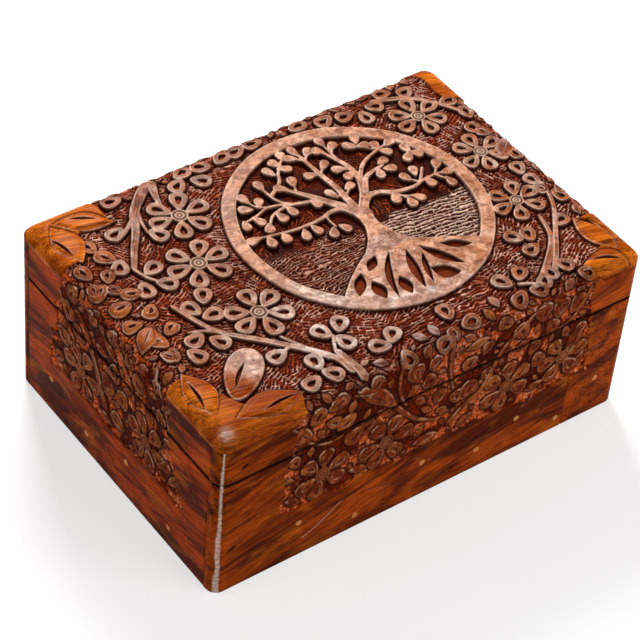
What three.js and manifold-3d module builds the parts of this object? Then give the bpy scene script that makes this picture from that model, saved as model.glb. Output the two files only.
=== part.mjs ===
import * as THREE from 'three';
import { mergeVertices } from 'three/addons/utils/BufferGeometryUtils.js';
import Module from 'manifold-3d';

// Carved hardwood box with a hinged lid. Millimetres, +Z up, -Y is the front.
// The origin is the middle of the underside and X runs along the long side.

// Overall sizes
const BOX_W = 254;
const BOX_D = 177;
const BOX_H = 105;
const SPLIT_Z = 75;
const WALL = 8;
const CORNER_R = 6;

// Clearances
const JOINT_GAP = 0.3;
const SPLIT_GAP = 0.6;
const PEG_CLEARANCE = 0.3;

// Lid board with a pillowed edge
const LID_BOARD_T = 8;
const PILLOW_R = 10;
const PILLOW_ANGLE = 65;
const PILLOW_STEPS = 5;
const CORNER_STEPS = 4;

// Bottom board and the seam in the front board
const BOTTOM_T = 18;
const END_LENGTH = 36.6;
const FRONT_SEAM_X = BOX_W / 2 - END_LENGTH;

// Wooden pegs
const PEG_R = 1.9;
const PEG_SIDES = 10;
const LONG_PEG = 20;
const SHORT_PEG = 5.5;

// Butt hinges at the back
const HINGE_INSET = 55;
const HINGE_X = BOX_W / 2 - HINGE_INSET;
const HINGE_LEN = 34;
const BARREL_R = 1.8;
const BARREL_SIDES = 14;
const PIN_R = 0.5;
const PIN_SIDES = 10;
const PIN_CLEARANCE = 0.3;
const KNUCKLES = 5;
const LEAF_T = 0.9;
const LEAF_GAP = 0.4;
const HINGE_CLEARANCE = 0.35;
const STOP_ANGLE = 51;

// Hinge screws
const SCREW_SPACING = 22;
const SCREW_HEAD_R = 1.2;
const SCREW_SHANK_R = 0.55;
const SCREW_HEAD_H = 0.5;
const SCREW_LEN = 8;
const SCREW_CLEARANCE = 0.3;

// Relief on the lid: depths below the surface
const MEDALLION_DEPTH = 2.8;
const BORDER_DEPTH = 2.2;
const WALL_DEPTH = 1.2;
const TREE_DROP = 0.3;
const LEAF_DROP = 0.5;
const FLOWER_DROP = 0.2;
const LIP = 0.6;

// Ring of the medallion
const RING_X = 20.8;
const RING_Y = 7.5;
const RING_OUTER_R = 68.6;
const RING_INNER_R = 61.3;
const RING_STEPS = 42;

// The carving was laid out on a lid of this size and is stretched to the box
const PATTERN_W = 254;
const PATTERN_D = 177;
const PATTERN_H = 105;

// Sizes of the carved flowers, buds and leaves
const PETALS = 6;
const PETAL_REACH = 10.7;
const PETAL_A = 5.7;
const PETAL_B = 5.7;
const HUB_R = 5.3;
const HUB_GROOVE_R = 4.6;
const KNOB_R = 3.5;
const BUD_A = 5.5;
const BUD_B = 5.4;
const TREE_LEAF_A = 3.4;
const TREE_LEAF_B = 3.4;
const PETAL_SIDES = 7;
const BUD_SIDES = 6;
const EYE_SIDES = 4;
const LEAF_SIDES = 6;
const WALL_LEAF_SIDES = 6;
const BRANCH_SPREAD = 1.15;
const STEM_STEPS = 1.15;

// Flowers: centre and turn of the first petal in degrees
const FLOWERS = [
  [-56.4, 52.9, 3],
  [-67.8, 18.9, 0],
  [-62.4, -24.7, 28],
  [93.7, 54.2, 25],
  [104.1, 14.6, 20],
  [95.8, -25.2, 8],
];

// Buds with an almond eye: centre and heading in degrees
const BUDS = [
  [-73, 46.4, -65], [-88.9, 27.4, 20], [-88.6, 14.6, -40], [-100, 16, -100],
  [-88.7, -6.2, 110], [-78.9, -1.5, 60], [-82.2, -14.6, 0], [-89.6, -31.8, -60],
  [-72.2, -53.8, 190], [-45, -51.4, 115], [-34.4, -51.3, 50], [-38.9, -62.6, -75],
  [-59.4, -66.4, 85], [-68.5, -77, 200], [-56.5, -77, -50],
  [-45, 72.2, 215], [-32.6, 69.5, -40], [48.5, 76, 200], [60, 73.6, 180],
  [69.5, 67.6, -90], [78.5, 72.4, -20], [115, 56.5, 0],
  [113, 31.5, 110], [112.5, -5.8, 80], [113, -16.8, 100],
  [76.7, -46.3, 130], [84.4, -48.6, 75], [78.9, -58, 200], [105.5, -48.5, 20],
  [86, -75, -60], [-17.3, -70.6, 45], [-26.8, -73.6, 150],
  [14.4, -71.4, 80], [51, -69, 120], [62.3, -68.8, 45],
];

// Vines: width at each end, then the points of the stem
const VINES = [
  [3.4, 1.6, [-58, 82], [-64, 76], [-71, 66], [-77, 57.5], [-88, 44], [-97, 31.5], [-103, 24]],
  [1.8, 1.4, [-63.5, 76.5], [-72, 62], [-77, 50.5]],
  [1.8, 1.4, [-97, 31.5], [-95, 24], [-92, 19]],
  [2.2, 3.6, [-95.6, 0], [-91.3, -14.5], [-85.6, -27], [-67.8, -46], [-50.5, -67], [-47.5, -80]],
  [1.4, 2, [-63.3, -44], [-58, -55], [-52, -67.5]],
  [1.8, 2.6, [-47.2, -60], [-47, -70], [-46.6, -82]],
  [2, 1.4, [-85.6, -27], [-92, -22], [-99, -19]],
  [2, 1.4, [-59, -55], [-64, -52], [-67.5, -53]],
  [3, 2, [80, 76], [89, 73], [98, 69], [108, 58.8], [115.8, 46.5]],
  [1.6, 4, [98.3, -40], [93.5, -55], [82.5, -67], [69, -78]],
  [1.6, 3, [115.5, -21], [113.2, -30], [108.5, -39.5], [98, -53.5], [88, -66], [78, -77]],
  [1.6, 1.4, [-41.5, -56.5], [-44.5, -61], [-47, -66]],
  [1.6, 1.4, [57, -74.5], [62, -77], [66, -80]],
];

// Corner leaves: two tips, half width and bend, then the slit as two tips
const CORNER_LEAVES = [
  [-114, 80, -86, 66, 7, 1, -106, 79, -92, 71],
  [-115.5, 79, -115, 48.5, 8, 1, -120.5, 71, -117, 54],
  [-117, -39.5, -118, -71, 8, 1, -118, -46, -120.5, -65],
  [-105, -70, -81, -42, 7.5, 0, -103, -60, -87, -48.5],
  [-112, -77, -74.5, -79, 8, 1, -98, -79, -78, -78.3],
  [95.5, -79, 117, -80, 8, 1, 100, -77, 109.5, -80],
  [112, -49.5, 117, -80, 7, 0, 112.8, -51, 119, -63.5],
];

// Corner fields that stay uncarved
const CORNER_FIELDS = [
  [[-130, -42], [-117, -42], [-109, -60], [-104, -71], [-92, -71], [-76, -79], [-74, -92], [-130, -92]],
  [[-130, 50], [-115, 50], [-109, 64], [-105, 68], [-88, 68], [-90, 92], [-130, 92]],
  [[130, -52], [113, -52], [111, -62], [113, -73], [100, -77], [96, -92], [130, -92]],
  [[130, 58], [115, 58], [113.5, 67], [115, 76], [117, 92], [130, 92]],
];

// Branches of the tree: width at each end, then the points
const BRANCHES = [
  [3, 1.6, [20, 7], [18.5, 12], [15, 15.5], [10, 16.4], [4, 14.8], [-5, 14.2], [-16, 15], [-33, 18.6]],
  [1.6, 1.2, [7, 15.5], [5.2, 12], [5.4, 6]],
  [6, 2, [21, 8], [17.5, 16], [14, 21.5], [10.5, 27], [6.5, 33], [2, 39], [-1.5, 43]],
  [2.4, 1.4, [10.5, 27], [3, 28.8], [-5, 31], [-12, 30.4], [-18, 28], [-24, 21]],
  [2, 1.2, [-5, 31], [-9, 33.5], [-16, 35], [-25, 32.5], [-33, 31.5]],
  [2, 1.6, [-3, 30.5], [-7.5, 35], [-9.5, 41], [-10, 49]],
  [2.2, 1.2, [-9, 41.5], [0, 47.5], [4, 54], [9, 59.5], [13, 63]],
  [1.6, 1.2, [3.5, 37], [6, 43.5]],
  [1.4, 1, [-14, 35], [-20, 38], [-22.5, 45]],
  [4.4, 2.2, [22.5, 8], [22.5, 20], [23, 30], [22, 42], [21.5, 52], [21, 61]],
  [1.6, 1.2, [22, 42], [26.5, 46.5]],
  [1.6, 1.2, [22, 42], [18, 44]],
  [1.6, 1.2, [22.5, 22], [18.5, 26]],
  [1.6, 1.2, [23, 22], [28.5, 26]],
  [1.6, 1.2, [21.5, 55], [26, 59.5]],
  [1.6, 1.2, [21.5, 55], [17, 59.5]],
  [5, 2, [24, 9], [31.5, 18], [36, 26.5], [38, 34], [37.5, 42], [35.5, 49], [32.5, 57]],
  [1.6, 1.2, [36.5, 48], [36.5, 61]],
  [1.6, 1.2, [36.2, 52], [39.5, 56.5]],
  [1.6, 1.2, [37.6, 38], [33, 40]],
  [3.6, 1.6, [34, 20], [40, 28], [46, 30.6], [54, 32]],
  [2.6, 1.4, [38, 30], [45, 37.5], [53, 41.5], [64, 44.5]],
  [1.4, 1, [60, 43.5], [56, 46], [51, 51.5]],
  [4, 1.6, [24, 7], [29, 13], [34.5, 16.6], [40, 16], [47, 12], [55, 10.6], [62, 11.6], [70, 20]],
  [2, 1.2, [42, 14.5], [47.5, 8.5], [49.5, 3.5]],
  [1.4, 1.2, [48, 7.5], [54, 4]],
  [1.6, 1.2, [62, 11.6], [71, 12.5], [77, 12]],
  [1.6, 1.2, [72.5, 12.4], [76, 6]],
  [1.6, 1.2, [72.5, 12.4], [77, 17]],
  [1.6, 1.2, [68, 13], [67.5, 10]],
  [1.6, 1.2, [62, 12], [59, 16]],
];

// Leaves of the tree: centre and heading in degrees
const TREE_LEAVES = [
  [-35.5, 18.4, 180], [-28.6, 13.4, -100], [-20.6, 12.2, -95], [-10.8, 9, -110], [-4, 9.4, -75],
  [2.2, 3.1, -120], [9, 3.2, -60], [7.2, 25.6, -70], [-6.5, 27.3, -85], [-13.5, 25.8, -80],
  [-23.5, 22, -120], [-25, 29.3, -70], [-32.5, 29.5, -100], [-26, 39.5, 150], [-17.5, 40.4, 60],
  [-22.5, 46.5, 100], [-10, 50.8, 90], [0.4, 57, 110], [6.7, 61, 120], [8.8, 55.4, -30],
  [12.8, 64, 80], [-1.5, 43.6, 140], [6.2, 44.8, 70], [20.2, 64, 95], [26.4, 60.2, 35],
  [16, 60.4, 145], [27.6, 47.4, 40], [17.2, 44.4, 170], [18, 27, 110], [29.2, 27.4, 20],
  [31.6, 58, 130], [40, 57.6, 30], [36.6, 63, 90], [32.4, 41, 160], [34.6, 34.4, 200],
  [49, 27.6, -110], [55.6, 28.2, -20], [55.4, 34.6, 15], [61.8, 40.2, -40], [67.3, 45.2, 20],
  [59.6, 46.4, 80], [54.4, 50, -10], [48.2, 53, 140], [53.6, 56, 65], [58.2, 18.2, 110],
  [64.6, 20, 70], [78, 18.6, 50], [67, 9.2, -80], [79.2, 11.2, -5], [76.4, 4.4, -85],
  [44.4, 8.4, -110], [49.4, 1.6, -95], [54.7, 2.8, -50],
];

// Three leaves on their own at the right of the crown
const LOOSE_SPRIG = [[72, 36.4, 90], [69.6, 31, -140], [74.8, 30.8, -40]];

// Trunk and root fan: the outline down the left, then back up the right
const TRUNK_LEFT = [[18.6, 11], [18.4, 4], [17.4, -2], [15, -7], [11.5, -12], [6, -17.5], [-2, -22.5]];
const ROOTS_LEFT = [[-10, -28], [-16, -33], [-21, -38.6], [-14, -48], [0, -56]];
const ROOTS_RIGHT = [[20, -58], [42, -56], [56, -47], [63, -38], [57, -33.4], [50, -29.4], [42, -25.5]];
const TRUNK_RIGHT = [[35, -21.5], [30.5, -17], [27.8, -11], [26, -5], [25.8, 0], [27.4, 10]];

// Openings between the roots: two tips, half width and bend
const ROOT_HOLES = [
  [-0.5, -29.5, 9, -21.6, 2.2, 0],
  [-14.5, -40.6, -4.5, -28.2, 2.4, 0],
  [-4.2, -48.6, -3.2, -36, 2.7, 0],
  [1.2, -51, 17, -22.6, 1.7, 2.6],
  [8, -52, 10.6, -40.4, 2.4, 0],
  [16.6, -52.6, 25, -26, 2.1, 0.8],
  [23.4, -50.6, 30.6, -32, 1.3, 0.8],
  [28.4, -43.6, 39, -52, 2.8, -1],
  [31.8, -27, 44, -48.6, 2.3, -0.8],
  [42.3, -31, 56, -39, 2.3, -0.4],
];

// Domed buds of the left edge: centre, heading, half length and half width
const DOMED_BUDS = [
  [-107, 18, 160, 5.5, 5.6], [-117, 12, 190, 6.5, 6.5], [-104, 46, 120, 6, 6], [-107, 56.5, 100, 5, 5.4],
  [-115, -14, 115, 8.5, 6.5], [-113, -27, 240, 5, 5], [-110, 34, 60, 5, 5], [-106, 3, 230, 5.5, 5.4],
  [-104, -12, 30, 5, 5],
];

// Carved field of the front wall, along the wall and in height
const FRONT_FIELD = [
  [-90, 38], [-70, 35], [-40, 38], [-10, 35], [20, 37], [60, 35], [100, 36], [97, 72], [95, 110],
  [-80, 110], [-84, 85], [-88, 68],
];

// Front wall: flowers by centre and turn, vines and leaves as on the lid
const FRONT_FLOWERS = [[-66, 51.4, 20], [-28, 52.5, 5], [46.4, 51.4, 25], [83, 53, 0]];
const FRONT_VINES = [
  [4.5, 1.6, [-46, 97], [-38, 87], [-26, 76], [-12, 60], [1, 52]],
  [2.6, 1.4, [8, 104], [7, 92], [8, 80], [11, 68]],
  [2.4, 3.2, [64, 99], [53, 90], [41, 80], [36, 70], [30, 58], [20, 52], [11, 44]],
  [2, 1.4, [-22, 104], [-24, 92], [-22, 80], [-18, 72]],
  [2, 1.2, [95, 96], [88, 82], [78, 76], [66, 76]],
  [2, 1.2, [-86, 92], [-76, 78], [-66, 72], [-56, 72]],
];
const FRONT_LEAVES = [
  [-50, 98, -24, 76, 4.6, 1], [-11, 40, 5, 41, 3.6, 0], [16, 91, 31, 93, 3.2, 0],
  [-88, 44, -78, 38, 2.6, 0], [26, 44, 16, 38, 2.6, 0], [60, 40, 72, 42, 2.6, 0],
  [-50, 44, -38, 40, 2.6, 0], [98, 50, 92, 40, 2.4, 0],
];

// Side walls in the same way, from the middle of the wall to the back
const SIDE_FIELD = [
  [-58, 35.5], [-30, 36.5], [0, 33.5], [30, 36.5], [60, 35.5], [54, 76.5], [50, 110],
  [-42, 110], [-45, 78.5], [-48, 63.5],
];
const SIDE_FLOWERS = [[-27, 52, 10], [31, 51, 0]];
const SIDE_VINES = [
  [2, 4.5, [34, 88], [26, 80], [18, 64], [9, 45]],
  [2.4, 1.4, [4, 100], [-6, 88], [-14, 76], [-16, 66]],
  [2, 1.2, [52, 90], [44, 76], [38, 66]],
  [2, 1.2, [-30, 104], [-40, 90], [-46, 76]],
];
const SIDE_LEAVES = [[-48, 92, -38, 84, 2.4, 0], [12, 90, 0, 82, 2.8, 0], [14, 40, 2, 37, 2.4, 0]];

// Pegs: place along the wall, height, and whether they reach into the bottom board
const FRONT_PEGS = [
  [-78, 24, false], [-43, 9, true], [-3, 24, false], [33, 13.4, true],
  [57.5, 22.6, false], [85.9, 7.6, true], [109.5, 24.4, false],
];
const SIDE_PEGS = [[58.5, 22.4, false], [25, 12.4, true], [-11, 24, false], [-49, 12.4, true]];

const wasm = await Module();
wasm.setup();

// Turns a closed geometry into a solid that can be cut and joined
function solidOf(geometry) {
  const bare = geometry.index ? geometry.toNonIndexed() : geometry.clone();
  bare.deleteAttribute('normal');
  bare.deleteAttribute('uv');
  const merged = mergeVertices(bare, 1e-4);
  return new wasm.Manifold(new wasm.Mesh({
    numProp: 3,
    vertProperties: new Float32Array(merged.attributes.position.array),
    triVerts: new Uint32Array(merged.index.array),
  }));
}

// Turns a solid back into a flat-shaded geometry
function geometryOf(solid) {
  const data = solid.getMesh();
  const indexed = new THREE.BufferGeometry();
  indexed.setAttribute('position', new THREE.BufferAttribute(new Float32Array(data.vertProperties), 3));
  indexed.setIndex(new THREE.BufferAttribute(new Uint32Array(data.triVerts), 1));
  const flat = indexed.toNonIndexed();
  flat.computeVertexNormals();
  return flat;
}

function joinAll(solids) {
  return solids.reduce((sum, next) => sum.add(next));
}

function box(x0, x1, y0, y1, z0, z1) {
  const geometry = new THREE.BoxGeometry(x1 - x0, y1 - y0, z1 - z0);
  geometry.translate((x0 + x1) / 2, (y0 + y1) / 2, (z0 + z1) / 2);
  return solidOf(geometry);
}

// Upright prism over a plan outline
function prism(outline, z0, z1) {
  const shape = new THREE.Shape(outline.map(([x, y]) => new THREE.Vector2(x, y)));
  const geometry = new THREE.ExtrudeGeometry(shape, { depth: z1 - z0, bevelEnabled: false });
  geometry.translate(0, 0, z0);
  return solidOf(geometry);
}

// Round bar along X or Y between two ends
function bar(axis, radius, sides, from, to, a, b) {
  const geometry = new THREE.CylinderGeometry(radius, radius, to - from, sides);
  if (axis === 'x') {
    geometry.rotateZ(-Math.PI / 2);
    geometry.translate((from + to) / 2, a, b);
  } else {
    geometry.translate(a, (from + to) / 2, b);
  }
  return solidOf(geometry);
}

// Plan outlines

function circle(cx, cy, radius, steps) {
  return Array.from({ length: steps }, (_, i) => {
    const a = (2 * Math.PI * i) / steps;
    return [cx + radius * Math.cos(a), cy + radius * Math.sin(a)];
  });
}

function roundedRectangle(halfW, halfD, radius, steps) {
  const corners = [[1, 1, 0], [-1, 1, 90], [-1, -1, 180], [1, -1, 270]];
  return corners.flatMap(([sx, sy, start]) => Array.from({ length: steps + 1 }, (_, i) => {
    const a = THREE.MathUtils.degToRad(start + (90 * i) / steps);
    return [
      sx * (halfW - radius) + radius * Math.cos(a),
      sy * (halfD - radius) + radius * Math.sin(a),
    ];
  }));
}

// Petal: an oval that narrows towards its foot
function petal(cx, cy, heading, a, b, steps) {
  const turn = THREE.MathUtils.degToRad(heading);
  return Array.from({ length: steps }, (_, i) => {
    const t = (2 * Math.PI * i) / steps;
    const u = a * Math.cos(t);
    const v = b * Math.sin(t) * (0.74 + 0.26 * Math.cos(t));
    return [cx + u * Math.cos(turn) - v * Math.sin(turn), cy + u * Math.sin(turn) + v * Math.cos(turn)];
  });
}

// Lens between two tips, bulging to both sides, and bent sideways at its middle
function lens(ax, ay, bx, by, half, bend, steps) {
  const length = Math.hypot(bx - ax, by - ay);
  const nx = -(by - ay) / length;
  const ny = (bx - ax) / length;
  const edge = (side) => Array.from({ length: steps }, (_, i) => {
    const t = i / steps;
    const off = side * half * Math.sin(Math.PI * t) + bend * Math.sin(Math.PI * t);
    return [ax + (bx - ax) * t + nx * off, ay + (by - ay) * t + ny * off];
  });
  const back = edge(1).slice(1).reverse();
  return [...edge(-1), [bx, by], ...back];
}

// Tapered strip along a smooth curve
function strip(startWidth, endWidth, points) {
  const curve = new THREE.SplineCurve(points.map(([x, y]) => new THREE.Vector2(x, y)));
  const count = points.length > 2 ? Math.round((points.length - 1) * STEM_STEPS) : 1;
  const left = [];
  const right = [];
  for (let i = 0; i <= count; i += 1) {
    const t = i / count;
    const p = curve.getPoint(t);
    const d = curve.getTangent(t);
    const half = (startWidth + (endWidth - startWidth) * t) / 2;
    left.push([p.x - d.y * half, p.y + d.x * half]);
    right.push([p.x + d.y * half, p.y - d.x * half]);
  }
  return [...right, ...left.reverse()];
}

// Moves an outline of the carving's layout onto the lid
function onLid(outline) {
  return outline.map(([x, y]) => [(x * BOX_W) / PATTERN_W, (y * BOX_D) / PATTERN_D]);
}

// Lid board: rows of one rounded outline, drawn in and up along the pillow's arc
function pillowBoard() {
  const arc = THREE.MathUtils.degToRad(PILLOW_ANGLE);
  const rows = [[0, BOX_H - LID_BOARD_T]];
  for (let i = 0; i <= PILLOW_STEPS; i += 1) {
    const a = arc * (1 - i / PILLOW_STEPS);
    rows.push([PILLOW_R * (Math.sin(arc) - Math.sin(a)), BOX_H - PILLOW_R * (1 - Math.cos(a))]);
  }
  const positions = [];
  const index = [];
  rows.forEach(([inset, z]) => {
    roundedRectangle(BOX_W / 2 - inset, BOX_D / 2 - inset, CORNER_R, CORNER_STEPS)
      .forEach(([x, y]) => positions.push(x, y, z));
  });
  const n = 4 * (CORNER_STEPS + 1);
  for (let r = 0; r + 1 < rows.length; r += 1) {
    for (let i = 0; i < n; i += 1) {
      const a = r * n + i;
      const b = r * n + ((i + 1) % n);
      index.push(a, b, b + n, a, b + n, a + n);
    }
  }
  const top = (rows.length - 1) * n;
  for (let i = 1; i + 1 < n; i += 1) {
    index.push(0, i + 1, i);
    index.push(top, top + i, top + i + 1);
  }
  const geometry = new THREE.BufferGeometry();
  geometry.setAttribute('position', new THREE.Float32BufferAttribute(positions, 3));
  geometry.setIndex(index);
  return solidOf(geometry);
}

// Carved relief of the lid

const CUT_TOP = BOX_H + 1;
const RELIEF_FOOT = BOX_H - 4;

function flower(cx, cy, turn) {
  const top = BOX_H - FLOWER_DROP;
  const parts = [];
  for (let i = 0; i < PETALS; i += 1) {
    const heading = turn + (360 * i) / PETALS;
    const a = THREE.MathUtils.degToRad(heading);
    const px = cx + PETAL_REACH * Math.cos(a);
    const py = cy + PETAL_REACH * Math.sin(a);
    const body = prism(petal(px, py, heading, PETAL_A, PETAL_B, PETAL_SIDES), RELIEF_FOOT, top);
    const eyeShape = petal(px, py, heading + 180, PETAL_A * 0.48, PETAL_B * 0.3, EYE_SIDES);
    const eye = prism(eyeShape, RELIEF_FOOT - 1, CUT_TOP);
    parts.push(body.subtract(eye));
  }
  const hub = prism(circle(cx, cy, HUB_R, 11), RELIEF_FOOT, top);
  const groove = prism(circle(cx, cy, HUB_GROOVE_R, 8), RELIEF_FOOT - 1, CUT_TOP);
  const knob = prism(circle(cx, cy, KNOB_R, 7), RELIEF_FOOT, top);
  parts.push(hub.subtract(groove));
  parts.push(knob);
  return joinAll(parts);
}

function bud(cx, cy, heading) {
  const body = prism(petal(cx, cy, heading, BUD_A, BUD_B, BUD_SIDES), RELIEF_FOOT, BOX_H - FLOWER_DROP);
  const eyeShape = petal(cx, cy, heading + 180, BUD_A * 0.5, BUD_B * 0.34, EYE_SIDES - 1);
  const eye = prism(eyeShape, RELIEF_FOOT - 1, CUT_TOP);
  return body.subtract(eye);
}

function cornerLeaf(x0, y0, x1, y1, half, bend, sx0, sy0, sx1, sy1) {
  const body = prism(onLid(lens(x0, y0, x1, y1, half, bend, 6)), RELIEF_FOOT, CUT_TOP);
  const slit = prism(onLid(lens(sx0, sy0, sx1, sy1, 0.8, 0, 4)), RELIEF_FOOT - 1, CUT_TOP);
  return body.subtract(slit);
}

function trunkAndRoots() {
  const outline = [...TRUNK_LEFT, ...ROOTS_LEFT, ...ROOTS_RIGHT, ...TRUNK_RIGHT];
  const body = prism(onLid(outline), RELIEF_FOOT, BOX_H - TREE_DROP);
  const holes = ROOT_HOLES.map((hole) => prism(onLid(lens(...hole, 5)), RELIEF_FOOT - 1, CUT_TOP));
  return body.subtract(joinAll(holes));
}

function medallionRelief() {
  const [cx, cy] = onLid([[RING_X, RING_Y]])[0];
  const outer = prism(circle(cx, cy, RING_OUTER_R, RING_STEPS), RELIEF_FOOT, CUT_TOP);
  const inner = prism(circle(cx, cy, RING_INNER_R, RING_STEPS), RELIEF_FOOT - 1, CUT_TOP);
  const branches = BRANCHES.map(([w0, w1, ...points]) => (
    prism(onLid(strip(w0 * BRANCH_SPREAD, w1 * BRANCH_SPREAD, points)), RELIEF_FOOT, BOX_H - TREE_DROP)
  ));
  const leaves = [...TREE_LEAVES, ...LOOSE_SPRIG].map(([x, y, heading]) => (
    prism(onLid(petal(x, y, heading, TREE_LEAF_A, TREE_LEAF_B, LEAF_SIDES)), RELIEF_FOOT, BOX_H - LEAF_DROP)
  ));
  return joinAll([outer.subtract(inner), trunkAndRoots(), ...branches, ...leaves]);
}

function borderRelief() {
  const flowers = FLOWERS.map(([x, y, turn]) => flower(...onLid([[x, y]])[0], turn));
  const buds = BUDS.map(([x, y, heading]) => bud(...onLid([[x, y]])[0], heading));
  const vines = VINES.map(([w0, w1, ...points]) => (
    prism(onLid(strip(w0, w1, points)), RELIEF_FOOT, BOX_H - FLOWER_DROP)
  ));
  const corners = CORNER_FIELDS.map((field) => prism(onLid(field), RELIEF_FOOT, CUT_TOP));
  const leaves = CORNER_LEAVES.map((leaf) => cornerLeaf(...leaf));
  const domed = DOMED_BUDS.map(([x, y, heading, a, b]) => (
    prism(onLid(petal(x, y, heading, a, b, PETAL_SIDES)), RELIEF_FOOT, BOX_H - FLOWER_DROP)
  ));
  return joinAll([...flowers, ...buds, ...vines, ...corners, ...domed]).add(joinAll(leaves));
}

function carvedLidBoard() {
  const inset = PILLOW_R * Math.sin(THREE.MathUtils.degToRad(PILLOW_ANGLE)) + LIP;
  const [cx, cy] = onLid([[RING_X, RING_Y]])[0];
  const field = roundedRectangle(BOX_W / 2 - inset, BOX_D / 2 - inset, CORNER_R, CORNER_STEPS);
  const border = prism(field, BOX_H - BORDER_DEPTH, CUT_TOP);
  const disc = circle(cx, cy, (RING_INNER_R + RING_OUTER_R) / 2, RING_STEPS);
  const medallion = prism(disc, BOX_H - MEDALLION_DEPTH, CUT_TOP);
  const ground = border.subtract(borderRelief()).add(medallion).subtract(medallionRelief());
  return pillowBoard().subtract(ground);
}

// Carved relief of a wall, drawn along the wall and in height, then turned upright about the middle.
// Each shape stands to the face and the field between them is sunk.

const FRONT_WALL = {
  half: BOX_D / 2,
  along: BOX_W / PATTERN_W,
  mirror: 1,
  field: FRONT_FIELD,
  flowers: FRONT_FLOWERS,
  vines: FRONT_VINES,
  leaves: FRONT_LEAVES,
};
const SIDE_WALL = {
  half: BOX_W / 2,
  along: BOX_D / PATTERN_D,
  mirror: -1,
  field: SIDE_FIELD,
  flowers: SIDE_FLOWERS,
  vines: SIDE_VINES,
  leaves: SIDE_LEAVES,
};

function wallGround(wall, turn) {
  const { half, along, mirror } = wall;
  const place = ([u, z]) => [mirror * u * along, (z * BOX_H) / PATTERN_H];
  const stand = (outline) => prism(outline, half - WALL_DEPTH - 1, half + 2);
  const parts = [];
  wall.flowers.forEach(([u, z, first]) => {
    const [cx, cy] = place([u, z]);
    for (let i = 0; i < PETALS; i += 1) {
      const heading = mirror * first + (360 * i) / PETALS;
      const a = THREE.MathUtils.degToRad(heading);
      const px = cx + 0.95 * PETAL_REACH * Math.cos(a);
      const py = cy + 0.95 * PETAL_REACH * Math.sin(a);
      parts.push(stand(petal(px, py, heading, PETAL_A, 0.9 * PETAL_B, WALL_LEAF_SIDES)));
    }
    parts.push(stand(circle(cx, cy, 0.95 * HUB_R, 8)));
  });
  wall.vines.forEach(([w0, w1, ...points]) => parts.push(stand(strip(w0, w1, points.map(place)))));
  wall.leaves.forEach(([u0, z0, u1, z1, wide, bend]) => {
    parts.push(stand(lens(...place([u0, z0]), ...place([u1, z1]), wide, mirror * bend, 4)));
  });
  const outline = wall.field.map(place);
  const sunk = prism(outline, half - WALL_DEPTH, half + 1);
  return sunk.subtract(joinAll(parts)).rotate([90, 0, turn]);
}

// Hinge geometry, shared by the boards that it is let into

const AXIS_Y = BOX_D / 2 - BARREL_R;
const AXIS_Z = SPLIT_Z;
const LEAF_BACK = AXIS_Y - BARREL_R - PIN_CLEARANCE;
const LEAF_FRONT = BOX_D / 2 - WALL + 0.2;
const SCREW_Y = (LEAF_BACK + LEAF_FRONT) / 2;

// side is -1 for the base and +1 for the lid
function hingeMortise(x, side) {
  const reach = LEAF_GAP / 2 + LEAF_T + HINGE_CLEARANCE;
  const z0 = side < 0 ? AXIS_Z - reach : AXIS_Z - 1;
  const z1 = side < 0 ? AXIS_Z + 1 : AXIS_Z + reach;
  const half = HINGE_LEN / 2 + HINGE_CLEARANCE;
  const leafBed = box(x - half, x + half, BOX_D / 2 - WALL - 1, AXIS_Y, z0, z1);
  const barrelBed = bar('x', BARREL_R + HINGE_CLEARANCE, BARREL_SIDES, x - half, x + half, AXIS_Y, AXIS_Z);
  const parts = [leafBed, barrelBed];
  [-1, 1].forEach((end) => {
    const hole = new THREE.CylinderGeometry(
      SCREW_SHANK_R + SCREW_CLEARANCE,
      SCREW_SHANK_R + SCREW_CLEARANCE,
      SCREW_LEN + 2,
      8,
    );
    hole.rotateX(Math.PI / 2);
    hole.translate(x + (end * SCREW_SPACING) / 2, SCREW_Y, AXIS_Z + (side * (SCREW_LEN + 2)) / 2);
    parts.push(solidOf(hole));
  });
  return joinAll(parts);
}

// Wedge that bevels the back edge, so that the open lid stops on the base
function stopBevel(side) {
  const drop = Math.tan(THREE.MathUtils.degToRad(STOP_ANGLE)) * (BARREL_R + 2);
  const section = new THREE.Shape([
    new THREE.Vector2(AXIS_Y, AXIS_Z),
    new THREE.Vector2(AXIS_Y + BARREL_R + 2, AXIS_Z + side * drop),
    new THREE.Vector2(AXIS_Y + BARREL_R + 2, AXIS_Z - side * 2),
    new THREE.Vector2(AXIS_Y, AXIS_Z - side * 2),
  ]);
  const geometry = new THREE.ExtrudeGeometry(section, { depth: BOX_W + 2, bevelEnabled: false });
  geometry.rotateY(Math.PI / 2);
  geometry.rotateX(Math.PI / 2);
  geometry.translate(-BOX_W / 2 - 1, 0, 0);
  return solidOf(geometry);
}

function knuckleSpan(i) {
  const length = (HINGE_LEN - (KNUCKLES - 1) * PIN_CLEARANCE) / KNUCKLES;
  const start = -HINGE_LEN / 2 + i * (length + PIN_CLEARANCE);
  return [start, start + length];
}

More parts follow.
